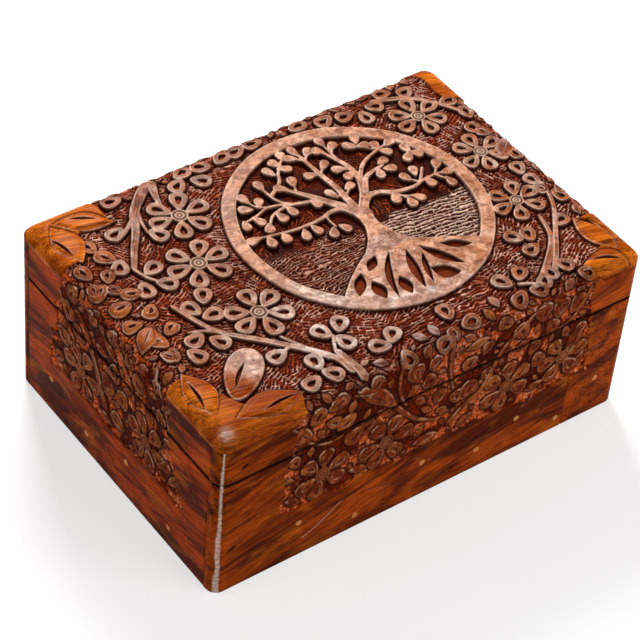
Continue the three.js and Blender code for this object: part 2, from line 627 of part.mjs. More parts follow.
// One leaf about the hinge's own middle on the axis
function hingeLeaf(side) {
  const half = HINGE_LEN / 2;
  const near = (side * LEAF_GAP) / 2;
  const far = side * (LEAF_GAP / 2 + LEAF_T);
  const z0 = Math.min(near, far);
  const z1 = Math.max(near, far);
  const parts = [box(-half, half, LEAF_FRONT - AXIS_Y, LEAF_BACK - AXIS_Y, z0, z1)];
  const bores = [];
  const first = side < 0 ? 0 : 1;
  for (let i = first; i < KNUCKLES; i += 2) {
    const [x0, x1] = knuckleSpan(i);
    parts.push(bar('x', BARREL_R, BARREL_SIDES, x0, x1, 0, 0));
    parts.push(box(x0, x1, LEAF_BACK - AXIS_Y - 0.2, -PIN_R - PIN_CLEARANCE - 0.2, z0, z1));
    bores.push(bar('x', PIN_R + PIN_CLEARANCE, PIN_SIDES, x0 - 1, x1 + 1, 0, 0));
  }
  [-1, 1].forEach((end) => {
    const hole = new THREE.LatheGeometry([
      new THREE.Vector2(0, 0),
      new THREE.Vector2(SCREW_SHANK_R + SCREW_CLEARANCE, 0),
      new THREE.Vector2(SCREW_SHANK_R + SCREW_CLEARANCE, LEAF_T - SCREW_HEAD_H + 1),
      new THREE.Vector2(SCREW_HEAD_R + SCREW_CLEARANCE, LEAF_T + 1),
      new THREE.Vector2(SCREW_HEAD_R + SCREW_CLEARANCE, LEAF_T + 2),
      new THREE.Vector2(0, LEAF_T + 2),
    ], 8);
    hole.rotateX(side < 0 ? Math.PI / 2 : -Math.PI / 2);
    hole.translate((end * SCREW_SPACING) / 2, SCREW_Y - AXIS_Y, far + side);
    bores.push(solidOf(hole));
  });
  return joinAll(parts).subtract(joinAll(bores));
}

// Boards

const BASE_TOP = SPLIT_Z - SPLIT_GAP / 2;
const LID_FOOT = SPLIT_Z + SPLIT_GAP / 2;
const RIM_TOP = BOX_H - LID_BOARD_T - JOINT_GAP;

// Long board with its outer corners rounded; front is -1 and back is +1
function longBoard(front, z0, z1) {
  const outline = roundedRectangle(BOX_W / 2, BOX_D / 2, CORNER_R, CORNER_STEPS);
  const whole = prism(outline, z0, z1);
  const inner = BOX_D / 2 - WALL;
  const keep = front < 0
    ? box(-BOX_W, BOX_W, -BOX_D, -inner, z0 - 1, z1 + 1)
    : box(-BOX_W, BOX_W, inner, BOX_D, z0 - 1, z1 + 1);
  return whole.intersect(keep);
}

function sideBoard(side, z0, z1) {
  const reach = BOX_D / 2 - WALL - JOINT_GAP;
  const outer = (side * BOX_W) / 2;
  const inner = side * (BOX_W / 2 - WALL);
  return box(Math.min(outer, inner), Math.max(outer, inner), -reach, reach, z0, z1);
}

const PEG_BORE = PEG_R + PEG_CLEARANCE;

function pegLength(deep) {
  return deep ? LONG_PEG : SHORT_PEG;
}

// Bores for a row of pegs in a long wall or a side wall
function longWallBores(front, mirror) {
  return joinAll(FRONT_PEGS.map(([place, z, deep]) => {
    const x = (place * BOX_W) / PATTERN_W;
    const depth = pegLength(deep) + PEG_CLEARANCE;
    const face = front * (BOX_D / 2);
    const from = front < 0 ? face - 1 : face - depth;
    const to = front < 0 ? face + depth : face + 1;
    return bar('y', PEG_BORE, PEG_SIDES, from, to, mirror * x, z);
  }));
}

function sideWallBores(side) {
  return joinAll(SIDE_PEGS.map(([place, z, deep]) => {
    const y = (place * BOX_D) / PATTERN_D;
    const depth = pegLength(deep) + PEG_CLEARANCE;
    const face = side * (BOX_W / 2);
    const from = side < 0 ? face - 1 : face - depth;
    const to = side < 0 ? face + depth : face + 1;
    return bar('x', PEG_BORE, PEG_SIDES, from, to, y, z);
  }));
}

const frontBores = longWallBores(-1, 1);
const backBores = longWallBores(1, -1);
const leftBores = sideWallBores(-1);
const rightBores = sideWallBores(1);

const frontGround = wallGround(FRONT_WALL, 0);
const leftGround = wallGround(SIDE_WALL, -90);
const rightGround = wallGround(SIDE_WALL, 90);

const frontWall = longBoard(-1, 0, BASE_TOP).subtract(frontBores).subtract(frontGround);
const frontBoard = frontWall.intersect(
  box(-BOX_W, FRONT_SEAM_X - JOINT_GAP / 2, -BOX_D, BOX_D, -1, BOX_H),
);
const frontEndBoard = frontWall.intersect(
  box(FRONT_SEAM_X + JOINT_GAP / 2, BOX_W, -BOX_D, BOX_D, -1, BOX_H),
);
const backBoard = longBoard(1, 0, BASE_TOP)
  .subtract(backBores)
  .subtract(stopBevel(-1))
  .subtract(hingeMortise(-HINGE_X, -1))
  .subtract(hingeMortise(HINGE_X, -1));
const leftBoard = sideBoard(-1, 0, BASE_TOP).subtract(leftBores).subtract(leftGround);
const rightBoard = sideBoard(1, 0, BASE_TOP).subtract(rightBores).subtract(rightGround);
const bottomBoard = box(
  -BOX_W / 2 + WALL + JOINT_GAP,
  BOX_W / 2 - WALL - JOINT_GAP,
  -BOX_D / 2 + WALL + JOINT_GAP,
  BOX_D / 2 - WALL - JOINT_GAP,
  0,
  BOTTOM_T,
).subtract(joinAll([frontBores, backBores, leftBores, rightBores]));

const backRim = longBoard(1, LID_FOOT, RIM_TOP)
  .subtract(stopBevel(1))
  .subtract(hingeMortise(-HINGE_X, 1))
  .subtract(hingeMortise(HINGE_X, 1));

// Peg and screw geometries, each shared by its copies

function pegGeometry(deep) {
  const geometry = new THREE.CylinderGeometry(PEG_R, PEG_R, pegLength(deep), PEG_SIDES);
  geometry.translate(0, pegLength(deep) / 2, 0);
  return geometry;
}

const screwGeometry = new THREE.LatheGeometry([
  new THREE.Vector2(0, -SCREW_LEN),
  new THREE.Vector2(SCREW_SHANK_R, -SCREW_LEN + 1.5),
  new THREE.Vector2(SCREW_SHANK_R, -SCREW_HEAD_H),
  new THREE.Vector2(SCREW_HEAD_R, 0),
  new THREE.Vector2(0, 0),
], 8);
screwGeometry.rotateX(Math.PI / 2);

// Materials

const WALNUT_BROWN = new THREE.Color('#8a4420');
const CARVED_BROWN = new THREE.Color('#a8694c');
const DARK_BROWN = new THREE.Color('#6b3018');
const PEG_TAN = new THREE.Color('#d08a4a');
const BRASS = new THREE.Color('#b08a45');

function finish(color, roughness, metalness) {
  return new THREE.MeshStandardMaterial({ color, roughness, metalness });
}

function piece(name, geometry, material) {
  const mesh = new THREE.Mesh(geometry, material);
  mesh.name = name;
  return mesh;
}

// Assembly: the base stands at the origin and the lid group turns about the hinge axis

const group = new THREE.Group();
const base = new THREE.Group();
const lid = new THREE.Group();
lid.position.set(0, AXIS_Y, AXIS_Z);
group.add(base, lid);

const wood = () => finish(WALNUT_BROWN, 0.4, 0);

base.add(piece('base_front_board', geometryOf(frontBoard), wood()));
base.add(piece('base_front_end_board', geometryOf(frontEndBoard), wood()));
base.add(piece('base_back_board', geometryOf(backBoard), wood()));
base.add(piece('base_left_board', geometryOf(leftBoard), wood()));
base.add(piece('base_right_board', geometryOf(rightBoard), wood()));
base.add(piece('bottom_board', geometryOf(bottomBoard), finish(DARK_BROWN, 0.6, 0)));

function addToLid(name, solid, material) {
  const geometry = geometryOf(solid);
  geometry.translate(0, -AXIS_Y, -AXIS_Z);
  lid.add(piece(name, geometry, material));
}

addToLid('lid_top_board', carvedLidBoard(), finish(CARVED_BROWN, 0.4, 0));
addToLid('lid_front_rim', longBoard(-1, LID_FOOT, RIM_TOP).subtract(frontGround), wood());
addToLid('lid_back_rim', backRim, wood());
addToLid('lid_left_rim', sideBoard(-1, LID_FOOT, RIM_TOP).subtract(leftGround), wood());
addToLid('lid_right_rim', sideBoard(1, LID_FOOT, RIM_TOP).subtract(rightGround), wood());

// Pegs, heads flush with the walls

FRONT_PEGS.forEach(([place, z, deep], i) => {
  const x = (place * BOX_W) / PATTERN_W;
  const front = piece(`peg_front_${i + 1}`, pegGeometry(deep), finish(PEG_TAN, 0.6, 0));
  front.position.set(x, -BOX_D / 2, z);
  base.add(front);
  const back = piece(`peg_back_${i + 1}`, pegGeometry(deep), finish(PEG_TAN, 0.6, 0));
  back.position.set(-x, BOX_D / 2, z);
  back.rotation.set(0, 0, Math.PI);
  base.add(back);
});

SIDE_PEGS.forEach(([place, z, deep], i) => {
  const y = (place * BOX_D) / PATTERN_D;
  const left = piece(`peg_left_${i + 1}`, pegGeometry(deep), finish(PEG_TAN, 0.6, 0));
  left.position.set(-BOX_W / 2, y, z);
  left.rotation.set(0, 0, -Math.PI / 2);
  base.add(left);
  const right = piece(`peg_right_${i + 1}`, pegGeometry(deep), finish(PEG_TAN, 0.6, 0));
  right.position.set(BOX_W / 2, y, z);
  right.rotation.set(0, 0, Math.PI / 2);
  base.add(right);
});

// Hinges: leaves, pin and two screws in each leaf

const brass = () => finish(BRASS, 0.35, 1);
const baseLeaf = geometryOf(hingeLeaf(-1));
const lidLeaf = geometryOf(hingeLeaf(1));
const pinGeometry = new THREE.CylinderGeometry(PIN_R, PIN_R, HINGE_LEN, PIN_SIDES);
const SCREW_SEAT = LEAF_GAP / 2 + 0.05;

[['left', -HINGE_X], ['right', HINGE_X]].forEach(([name, x]) => {
  const lower = piece(`hinge_${name}_base_leaf`, baseLeaf, brass());
  lower.position.set(x, AXIS_Y, AXIS_Z);
  base.add(lower);
  const upper = piece(`hinge_${name}_lid_leaf`, lidLeaf, brass());
  upper.position.set(x, 0, 0);
  lid.add(upper);
  const pin = piece(`hinge_${name}_pin`, pinGeometry, brass());
  pin.position.set(x, AXIS_Y, AXIS_Z);
  pin.rotation.set(0, 0, Math.PI / 2);
  base.add(pin);
  [-1, 1].forEach((end, i) => {
    const along = x + (end * SCREW_SPACING) / 2;
    const down = piece(`hinge_${name}_base_screw_${i + 1}`, screwGeometry, brass());
    down.position.set(along, SCREW_Y, AXIS_Z - SCREW_SEAT);
    base.add(down);
    const up = piece(`hinge_${name}_lid_screw_${i + 1}`, screwGeometry, brass());
    up.position.set(along, SCREW_Y - AXIS_Y, SCREW_SEAT);
    up.rotation.set(Math.PI, 0, 0);
    lid.add(up);
  });
});

export default group;
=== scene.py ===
import math

import bpy
import numpy as np
from mathutils import Matrix, Vector


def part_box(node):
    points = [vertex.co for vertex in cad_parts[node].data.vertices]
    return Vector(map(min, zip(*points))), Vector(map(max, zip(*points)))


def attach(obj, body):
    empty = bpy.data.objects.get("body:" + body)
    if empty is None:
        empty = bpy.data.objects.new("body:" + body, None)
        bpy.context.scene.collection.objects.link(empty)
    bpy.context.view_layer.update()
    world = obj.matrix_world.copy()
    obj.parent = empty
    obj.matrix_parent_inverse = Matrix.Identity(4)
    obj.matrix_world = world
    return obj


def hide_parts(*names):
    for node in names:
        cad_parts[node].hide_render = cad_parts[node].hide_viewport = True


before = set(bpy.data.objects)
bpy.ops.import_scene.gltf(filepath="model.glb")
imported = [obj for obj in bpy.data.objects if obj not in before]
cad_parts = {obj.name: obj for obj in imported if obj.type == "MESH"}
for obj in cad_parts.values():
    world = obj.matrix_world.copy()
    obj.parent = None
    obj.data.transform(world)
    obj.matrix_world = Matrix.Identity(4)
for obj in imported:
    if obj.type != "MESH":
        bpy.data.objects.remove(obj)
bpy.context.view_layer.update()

bl_info = {
    "name": "Carved tree box",
    "version": (1, 0, 0),
    "blender": (4, 5, 0),
    "location": "View3D > Sidebar > Carved box",
    "description": "Builds a hand-carved hardwood box with a hinged lid",
    "category": "Object",
}

MM = 0.001


def node_box(name):
    """Lowest and highest corner of a solid, in millimetres."""
    low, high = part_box(name)
    return np.array(low) / MM, np.array(high) / MM


LID_LOW, LID_HIGH = node_box("lid_top_board")
FRONT_HIGH, LEFT_HIGH = node_box("base_front_board")[1], node_box("base_left_board")[1]
HALF_W, HALF_D, TOP_Z = (float(v) for v in LID_HIGH)
BOARD_Z = float(LID_LOW[2])
BASE_TOP = float(FRONT_HIGH[2])
SEAM_LEFT, SEAM_RIGHT = float(FRONT_HIGH[0]), float(node_box("base_front_end_board")[0][0])
RIM_FOOT = float(node_box("lid_front_rim")[0][2])

# Inner faces of the walls, from the middle of the box, and the ends of the side boards
INNER_D = -float(FRONT_HIGH[1])
INNER_W = -float(LEFT_HIGH[0])
SIDE_END = float(LEFT_HIGH[1])

# Pillow of the lid board, as on the solid
PILLOW_R = 10.0
PILLOW_ARC = math.radians(65)
CORNER_R = 6.0
PILLOW_W = PILLOW_R * math.sin(PILLOW_ARC)
PILLOW_L = PILLOW_R * PILLOW_ARC
PILLOW_FOOT = TOP_Z - PILLOW_R * (1 - math.cos(PILLOW_ARC))
FLAT_X = HALF_W - PILLOW_W
FLAT_Y = HALF_D - PILLOW_W

# Unfolded layout: a level of zero on each wall lies this far from the middle of the lid
LONG_FOOT = FLAT_Y + PILLOW_L + PILLOW_FOOT
SIDE_FOOT = FLAT_X + PILLOW_L + PILLOW_FOOT

# Ring of the medallion
RING = (20.8, 7.5)
RING_OUTER = 68.6
RING_INNER = 61.3

# Flowers of the lid: centre, turn of the first petal in degrees and size
FLOWERS = [
    (-56.4, 52.9, 3, 1), (-67.8, 18.9, 0, 1), (-62.4, -24.7, 28, 1),
    (93.7, 54.2, 25, 0.9), (104.1, 14.6, 20, 0.87), (95.8, -25.2, 8, 0.86),
]

# Buds with an almond eye: centre and heading in degrees
BUDS = [
    (-73, 46.4, -65), (-88.9, 27.4, 20), (-88.6, 14.6, -40), (-100, 16, -100),
    (-88.7, -6.2, 110), (-78.9, -1.5, 60), (-82.2, -14.6, 0), (-89.6, -31.8, -60),
    (-72.2, -53.8, 190), (-45, -51.4, 115), (-34.4, -51.3, 50), (-38.9, -62.6, -75),
    (-59.4, -66.4, 85), (-68.5, -77, 200), (-56.5, -77, -50),
    (-45, 72.2, 215), (-32.6, 69.5, -40), (48.5, 76, 200), (60, 73.6, 180),
    (69.5, 67.6, -90), (78.5, 72.4, -20), (115, 56.5, 0),
    (113, 31.5, 110), (112.5, -5.8, 80), (113, -16.8, 100),
    (76.7, -46.3, 130), (84.4, -48.6, 75), (78.9, -58, 200), (105.5, -48.5, 20),
    (86, -75, -60), (-17.3, -70.6, 45), (-26.8, -73.6, 150),
    (14.4, -71.4, 80), (51, -69, 120), (62.3, -68.8, 45),
    (-38, 79.5, 20), (-27, 78.6, 150), (-14, 79, 30), (-5, 79.5, 190), (6, 80.5, 170),
    (-80, 79, 170), (-91, 57.5, 200), (-102, 36, 240), (-104, -34, -70), (-99, -25, 200),
    (118, 44, 80), (119, 5, -80), (118, -33, -70), (100, 74, 200), (88, 79, 160),
    (76, -76, -100), (34, 80, 10), (70, -79, 230),
    (-18.5, -87, -80), (21, -83, 3), (3.5, -88, 200), (51.8, -83, 219), (63.8, -82.5, -20), (93, -85, -30),
]

# Vines: width at each end, then the points of the stem
VINES = [
    (6, 2.8, (-57, 82), (-66.8, 74), (-75.4, 65), (-81.2, 54.4), (-89.2, 43.2), (-96.6, 31.8)),
    (1.6, 1.2, (-72.6, 65), (-75.6, 57), (-76.8, 50)),
    (2.4, 1.6, (-77, 63), (-83, 58.5), (-88.5, 55), (-92, 57)),
    (5, 1.8, (-55, 81), (-58.5, 72), (-60.5, 64)),
    (1.8, 1.4, (-97, 31.5), (-95, 24), (-92, 19)),
    (2.2, 3.6, (-95.6, 0), (-91.3, -14.5), (-85.6, -27), (-67.8, -46), (-50.5, -67), (-47.5, -80)),
    (1.4, 2, (-63.3, -44), (-58, -55), (-52, -67.5)),
    (3.2, 4.6, (-46.2, -66), (-45, -76), (-44, -86)),
    (2, 1.4, (-85.6, -27), (-92, -22), (-99, -19)),
    (2, 1.4, (-59, -55), (-64, -52), (-67.5, -53)),
    (3, 2, (80, 76), (89, 73), (98, 69), (108, 58.8), (115.8, 46.5)),
    (1.6, 4, (98.3, -40), (93.5, -55), (82.5, -67), (69, -78)),
    (1.6, 3, (115.5, -21), (113.2, -30), (108.5, -39.5), (98, -53.5), (88, -66), (78, -77)),
    (1.6, 1.4, (-41.5, -56.5), (-44.5, -61), (-47, -66)),
    (1.6, 1.4, (57, -74.5), (62, -77), (66, -80)),
]

# Domed buds of the left edge: centre, heading, half length and half width
DOMED_BUDS = [
    (-120, 27, 200, 6.5, 5), (-107, 18, 160, 5.5, 4.6), (-117, 12, 190, 6.5, 5.5), (-104, 46, 120, 6, 5),
    (-107, 56.5, 100, 5, 4.4), (-115, -14, 115, 8.5, 5.5), (-113, -27, 240, 5, 4), (-110, 34, 60, 5, 4),
    (-119, 42, 100, 6, 4.5), (-106, 3, 230, 5.5, 4.4), (-119, -1, 170, 5.5, 4.6), (-104, -12, 30, 5, 4),
]

# Corner leaves in plain wood: two tips, half width and bend, and the slit as two tips
CORNER_LEAVES = [
    (-114, 80, -86, 66, 7, 1, -106, 79, -92, 71),
    (-115.5, 79, -115, 48.5, 8, 1, -120.5, 71, -117, 54),
    (-117, -39.5, -118, -71, 8, 1, -118, -46, -120.5, -65),
    (-112, -77, -74.5, -79, 8, 1, -98, -80, -78, -79),
    (94, -80, 119, -92, 9.5, 1, 99, -79.5, 115, -86),
    (112, -49.5, 117, -80, 7, 0, 112.8, -51, 119, -63.5),
]

# Broad leaf at the front left corner, painted pale with sheen on its far half: centre, heading, half length
# and half width, and its slit
BROAD_LEAF = (-92.5, -55, 45, 17.5, 9.6)
BROAD_SLIT = (-101, -61.5, -87, -49)

# Branches of the tree: width at each end, then the points
BRANCHES = [
    (3, 1.6, (20, 7), (18.5, 12), (15, 15.5), (10, 16.4), (4, 14.8), (-5, 14.2), (-16, 15), (-33, 18.6)),
    (1.6, 1.2, (7, 15.5), (5.2, 12), (5.4, 6)),
    (6, 2, (21, 8), (17.5, 16), (14, 21.5), (10.5, 27), (6.5, 33), (2, 39), (-1.5, 43)),
    (2.4, 1.4, (10.5, 27), (3, 28.8), (-5, 31), (-12, 30.4), (-18, 28), (-24, 21)),
    (2, 1.2, (-5, 31), (-9, 33.5), (-16, 35), (-25, 32.5), (-33, 31.5)),
    (2, 1.6, (-3, 30.5), (-7.5, 35), (-9.5, 41), (-10, 49)),
    (2.2, 1.2, (-9, 41.5), (0, 47.5), (4, 54), (9, 59.5), (13, 63)),
    (1.6, 1.2, (3.5, 37), (6, 43.5)),
    (1.4, 1, (-14, 35), (-20, 38), (-22.5, 45)),
    (4.4, 2.2, (22.5, 8), (22.5, 20), (23, 30), (22, 42), (21.5, 52), (21, 61)),
    (1.6, 1.2, (22, 42), (26.5, 46.5)),
    (1.6, 1.2, (22, 42), (18, 44)),
    (1.6, 1.2, (22.5, 22), (18.5, 26)),
    (1.6, 1.2, (23, 22), (28.5, 26)),
    (1.6, 1.2, (21.5, 55), (26, 59.5)),
    (1.6, 1.2, (21.5, 55), (17, 59.5)),
    (5, 2, (24, 9), (31.5, 18), (36, 26.5), (38, 34), (37.5, 42), (35.5, 49), (32.5, 57)),
    (1.6, 1.2, (36.5, 48), (36.5, 61)),
    (1.6, 1.2, (36.2, 52), (39.5, 56.5)),
    (1.6, 1.2, (37.6, 38), (33, 40)),
    (3.6, 1.6, (34, 20), (40, 28), (46, 30.6), (54, 32)),
    (2.6, 1.4, (38, 30), (45, 37.5), (53, 41.5), (64, 44.5)),
    (1.4, 1, (60, 43.5), (56, 46), (51, 51.5)),
    (4, 1.6, (24, 7), (29, 13), (34.5, 16.6), (40, 16), (47, 12), (55, 10.6), (62, 11.6), (70, 20)),
    (2, 1.2, (42, 14.5), (47.5, 8.5), (49.5, 3.5)),
    (1.4, 1.2, (48, 7.5), (54, 4)),
    (1.6, 1.2, (62, 11.6), (71, 12.5), (77, 12)),
    (1.6, 1.2, (72.5, 12.4), (76, 6)),
    (1.6, 1.2, (72.5, 12.4), (77, 17)),
    (1.6, 1.2, (68, 13), (67.5, 10)),
    (1.6, 1.2, (62, 12), (59, 16)),
    (1, 0.8, (72, 36), (72, 33.5), (69.8, 31)),
    (1, 0.8, (72, 33.5), (74.6, 31)),
]

# Leaves of the tree: centre and heading in degrees
TREE_LEAVES = [
    (-35.5, 18.4, 180), (-28.6, 13.4, -100), (-20.6, 12.2, -95), (-10.8, 9, -110), (-4, 9.4, -75),
    (2.2, 3.1, -120), (9, 3.2, -60), (7.2, 25.6, -70), (-6.5, 27.3, -85), (-13.5, 25.8, -80),
    (-23.5, 22, -120), (-25, 29.3, -70), (-32.5, 29.5, -100), (-26, 39.5, 150), (-17.5, 40.4, 60),
    (-22.5, 46.5, 100), (-10, 50.8, 90), (0.4, 57, 110), (6.7, 61, 120), (8.8, 55.4, -30),
    (12.8, 64, 80), (-1.5, 43.6, 140), (6.2, 44.8, 70), (20.2, 64, 95), (26.4, 60.2, 35),
    (16, 60.4, 145), (27.6, 47.4, 40), (17.2, 44.4, 170), (18, 27, 110), (29.2, 27.4, 20),
    (31.6, 58, 130), (40, 57.6, 30), (36.6, 63, 90), (32.4, 41, 160), (34.6, 34.4, 200),
    (49, 27.6, -110), (55.6, 28.2, -20), (55.4, 34.6, 15), (61.8, 40.2, -40), (67.3, 45.2, 20),
    (59.6, 46.4, 80), (54.4, 50, -10), (48.2, 53, 140), (53.6, 56, 65), (58.2, 18.2, 110),
    (64.6, 20, 70), (78, 18.6, 50), (67, 9.2, -80), (79.2, 11.2, -5), (76.4, 4.4, -85),
    (44.4, 8.4, -110), (49.4, 1.6, -95), (54.7, 2.8, -50),
    (72, 36.4, 90), (69.6, 31, -140), (74.8, 30.8, -40),
]

# Trunk and root fan: the outline down the left, then back up the right
TRUNK = [
    (18.6, 11), (18.4, 4), (17.4, -2), (15, -7), (11.5, -12), (6, -17.5), (-2, -22.5),
    (-10, -28), (-16, -33), (-21, -38.6), (-16, -47), (0, -56),
    (20, -58), (42, -56), (58, -47), (63, -38), (57, -33.4), (50, -29.4), (42, -25.5),
    (35, -21.5), (30.5, -17), (27.8, -11), (26, -5), (25.8, 0), (27.4, 10),
]

# Openings between the roots: two tips, half width and bend
ROOT_HOLES = [
    (-0.5, -29.5, 9, -21.6, 2.4, 0), (-15, -41.5, -4.5, -28.2, 2.7, 0),
    (-4.4, -49.4, -3.2, -35.4, 3.2, 0), (1.2, -52.5, 17, -22.2, 1.7, 2.6),
    (8.4, -53, 10.4, -39.4, 3, 0), (16.6, -53.6, 25, -25.4, 2.3, 0.8),
    (22.4, -52, 30.8, -31.4, 1.5, 0.8), (27, -42.4, 39, -53, 4.2, -1.6),
    (31.8, -26.4, 44.4, -49, 2.6, -0.8), (42, -30.6, 56.4, -39.2, 2.6, -0.4),
]

# Carved ground on the lid and its four unfolded sides, as one outline
GROUND = [
    (-117, -42), (-109, -60), (-104, -71), (-92, -71), (-76, -79), (-80, -90), (-84, -105),
    (-88, -122), (-90, -152), (-70, -155), (-40, -152), (-10, -155), (20, -153), (60, -155),
    (100, -154), (97, -118), (95, -90), (96, -80), (100, -77), (113, -73), (111, -62), (113, -52),
    (130, -52), (160, -55), (193, -60), (192, -30), (194, 0), (192, 30), (193, 59), (160, 57),
    (130, 56), (115, 58), (113.5, 67), (115, 77), (108, 92), (98, 122), (92, 153), (60, 155),
    (20, 153), (-20, 155), (-60, 153), (-96, 154), (-93, 120), (-90, 92), (-88, 79), (-88, 68),
    (-105, 68), (-109, 64), (-115, 50), (-130, 50), (-152, 54), (-193, 60), (-192, 30),
    (-195, 0), (-192, -30), (-193, -58), (-165, -48), (-150, -45), (-130, -42),
]

# Front wall: centre along the wall, level, and turn or heading
FRONT_FLOWERS = [(-66, 51.4, 20), (-28, 52.5, 5), (46.4, 51.4, 25), (83, 53, 0)]
FRONT_BUDS = [
    (-72, 93, 60), (-80, 84, 150), (-62, 84, -30), (-14, 91, 100), (-3, 93, 60), (-54, 80, 210),
    (20, 81, 200), (30, 86, 60), (52, 86, 120), (65, 92, 100), (76, 90, 80), (87, 88, 60),
    (-42, 70, 30), (-83, 68, 120), (-48, 68, 220), (14, 61, 110), (21, 62, 60), (33, 67, 130),
    (62, 70, 60), (3, 67, 80), (66, 60, -70), (10, 105, 100), (-5, 82, -80), (92, 68, 40),
    (-60, 96, 20), (40, 97, 150), (-38, 97, 70), (72, 80, -60),
]
FRONT_VINES = [
    (4.5, 1.6, (-46, 97), (-38, 87), (-26, 76), (-12, 60), (1, 52)),
    (2.6, 1.4, (8, 104), (7, 92), (8, 80), (11, 68)),
    (2.4, 3.2, (64, 99), (53, 90), (41, 80), (36, 70), (30, 58), (20, 52), (11, 44)),
    (2, 1.4, (-22, 104), (-24, 92), (-22, 80), (-18, 72)),
    (2, 1.2, (95, 96), (88, 82), (78, 76), (66, 76)),
    (2, 1.2, (-86, 92), (-76, 78), (-66, 72), (-56, 72)),
]
FRONT_LEAVES = [
    (-50, 98, -24, 76, 4.6, 1), (-11, 40, 5, 41, 3.6, 0), (16, 91, 31, 93, 3.2, 0),
    (-88, 44, -78, 38, 2.6, 0), (26, 44, 16, 38, 2.6, 0), (60, 40, 72, 42, 2.6, 0),
    (-50, 44, -38, 40, 2.6, 0), (98, 50, 92, 40, 2.4, 0),
]

# Left wall, in the same way
LEFT_FLOWERS = [(-27, 52, 10), (31, 51, 0)]
LEFT_BUDS = [
    (29, 107, 190), (24, 116, 150), (-27, 113, -30), (-34, 95, -80), (40, 96, 120), (22, 94, 60),
    (44, 82, 40), (34, 74, 200), (-10, 92, 70), (-20, 84, 200), (2, 74, 100), (-6, 62, 250),
    (48, 62, 20), (8, 62, 60), (-38, 78, 60), (-46, 66, 20), (52, 44, -60), (-2, 44, 200),
    (4, 96, 120), (-44, 50, -30),
]
LEFT_VINES = [
    (2, 4.5, (34, 88), (26, 80), (18, 64), (9, 45)),
    (2.4, 1.4, (4, 100), (-6, 88), (-14, 76), (-16, 66)),
    (2, 1.2, (52, 90), (44, 76), (38, 66)),
    (2, 1.2, (-30, 104), (-40, 90), (-46, 76)),
]
LEFT_LEAVES = [
    (-5, 119, -18, 103, 5, 0), (-48, 92, -38, 84, 2.4, 0), (12, 90, 0, 82, 2.8, 0),
    (-56, 52, -46, 40, 2.6, 0), (14, 40, 2, 37, 2.4, 0),
]

# Thin cuts in the plain wood of the walls, with painted shade in them: two ends, the bend and how bright the
# painted highlight on their edges is
FRONT_STROKES = [
    (-79, 10, -52, 26, -1, 0.9), (-52, 24, -15, 16, 3, 0.15), (-8, 30, 4, 22, 1, 0.3),
    (45, 11, 75, 17, -1, 0.1), (-105, 40, -99, 52, 2, 0.3), (-98, 60, -94, 66, 0, 0.3),
    (20, 16, 42, 20, 1, 0.1), (92, 44, 116, 50, 2, 0.3), (-58, 99, -33, 91, -1, 0.9),
    (58, 97, 70, 95, 2, 0.8), (-110, 10, -88, 18, 1, 0.1), (60, 30, 74, 36, 1, 0.4),
]
LEFT_STROKES = [
    (-50, 93, -60, 86, 0, 0.3), (-44, 72, -58, 64, 0, 0.2), (-47, 55, -58, 48, 0, 0.2),
    (18, 22, -13, 8, -1, 0.3), (-20, 30, -44, 20, 1, 0.2), (50, 26, 30, 16, 0, 0.2),
    (-62, 60, -70, 50, 0, 0.2), (60, 20, 40, 12, 1, 0.2),
]

# Dark cracks: two ends and half width
FRONT_CRACKS = [(-115, 82, -111, 84.5, 0.9), (-121, 27, -114, 30, 0.9)]


# Small numeric helpers

def smooth(low, high, value):
    """Smooth step: 0 below low and 1 above high, with 3t squared less 2t cubed between them."""
    t = np.clip((value - low) / (high - low), 0.0, 1.0)
    return t * t * (3 - 2 * t)


def bell(value, width):
    """Bell curve: the exponential of less the square of the value over the width."""
    return np.exp(-(value / width) ** 2)


def eased(reach, width, depth):
    """How deep an eased edge lies: the depth times the square of what the reach leaves of the width."""
    return depth * np.clip(1 - reach / width, 0, 1) ** 2


def direction(heading):
    """Cosine and sine of a heading in degrees."""
    return math.cos(math.radians(heading)), math.sin(math.radians(heading))


def scatter(i, j, seed):
    """A repeatable number from 0 to 1 for a cell: the fraction of a large multiple of a sine."""
    value = np.sin(i * 127.1 + j * 311.7 + seed * 74.7) * 43758.5453
    return value - np.floor(value)


def cloud(points, size, seed):
    """Value noise: the four numbers of a cell's corners, blended smoothly across it."""
    q = points / size
    cell = np.floor(q)
    t = q - cell
    t = t * t * (3 - 2 * t)
    i, j = cell[:, 0], cell[:, 1]
    low = scatter(i, j, seed) * (1 - t[:, 0]) + scatter(i + 1, j, seed) * t[:, 0]
    high = scatter(i, j + 1, seed) * (1 - t[:, 0]) + scatter(i + 1, j + 1, seed) * t[:, 0]
    return low * (1 - t[:, 1]) + high * t[:, 1]


def centres_near(points, size, seed, margin):
    """Centres round each point on a jittered grid, for each of nine cells in turn: the cell's numbers and
    the centre's offset from the point. A centre keeps a margin from the edges of its cell."""
    cell = np.floor(points / size)
    for step_i in (-1, 0, 1):
        for step_j in (-1, 0, 1):
            i, j = cell[:, 0] + step_i, cell[:, 1] + step_j
            x = (i + margin + (1 - 2 * margin) * scatter(i, j, seed)) * size
            y = (j + margin + (1 - 2 * margin) * scatter(i, j, seed + 1)) * size
            yield i, j, points[:, 0] - x, points[:, 1] - y


def patches(points, size, seed):
    """Number from 0 to 1 of the patch round the nearest of a jittered grid of centres."""
    best, number = np.full(len(points), 1e9), np.zeros(len(points))
    for i, j, x, y in centres_near(points, size, seed, 0.1):
        reach = np.hypot(x, y)
        number = np.where(reach < best, scatter(i, j, seed + 2), number)
        best = np.minimum(best, reach)
    return number


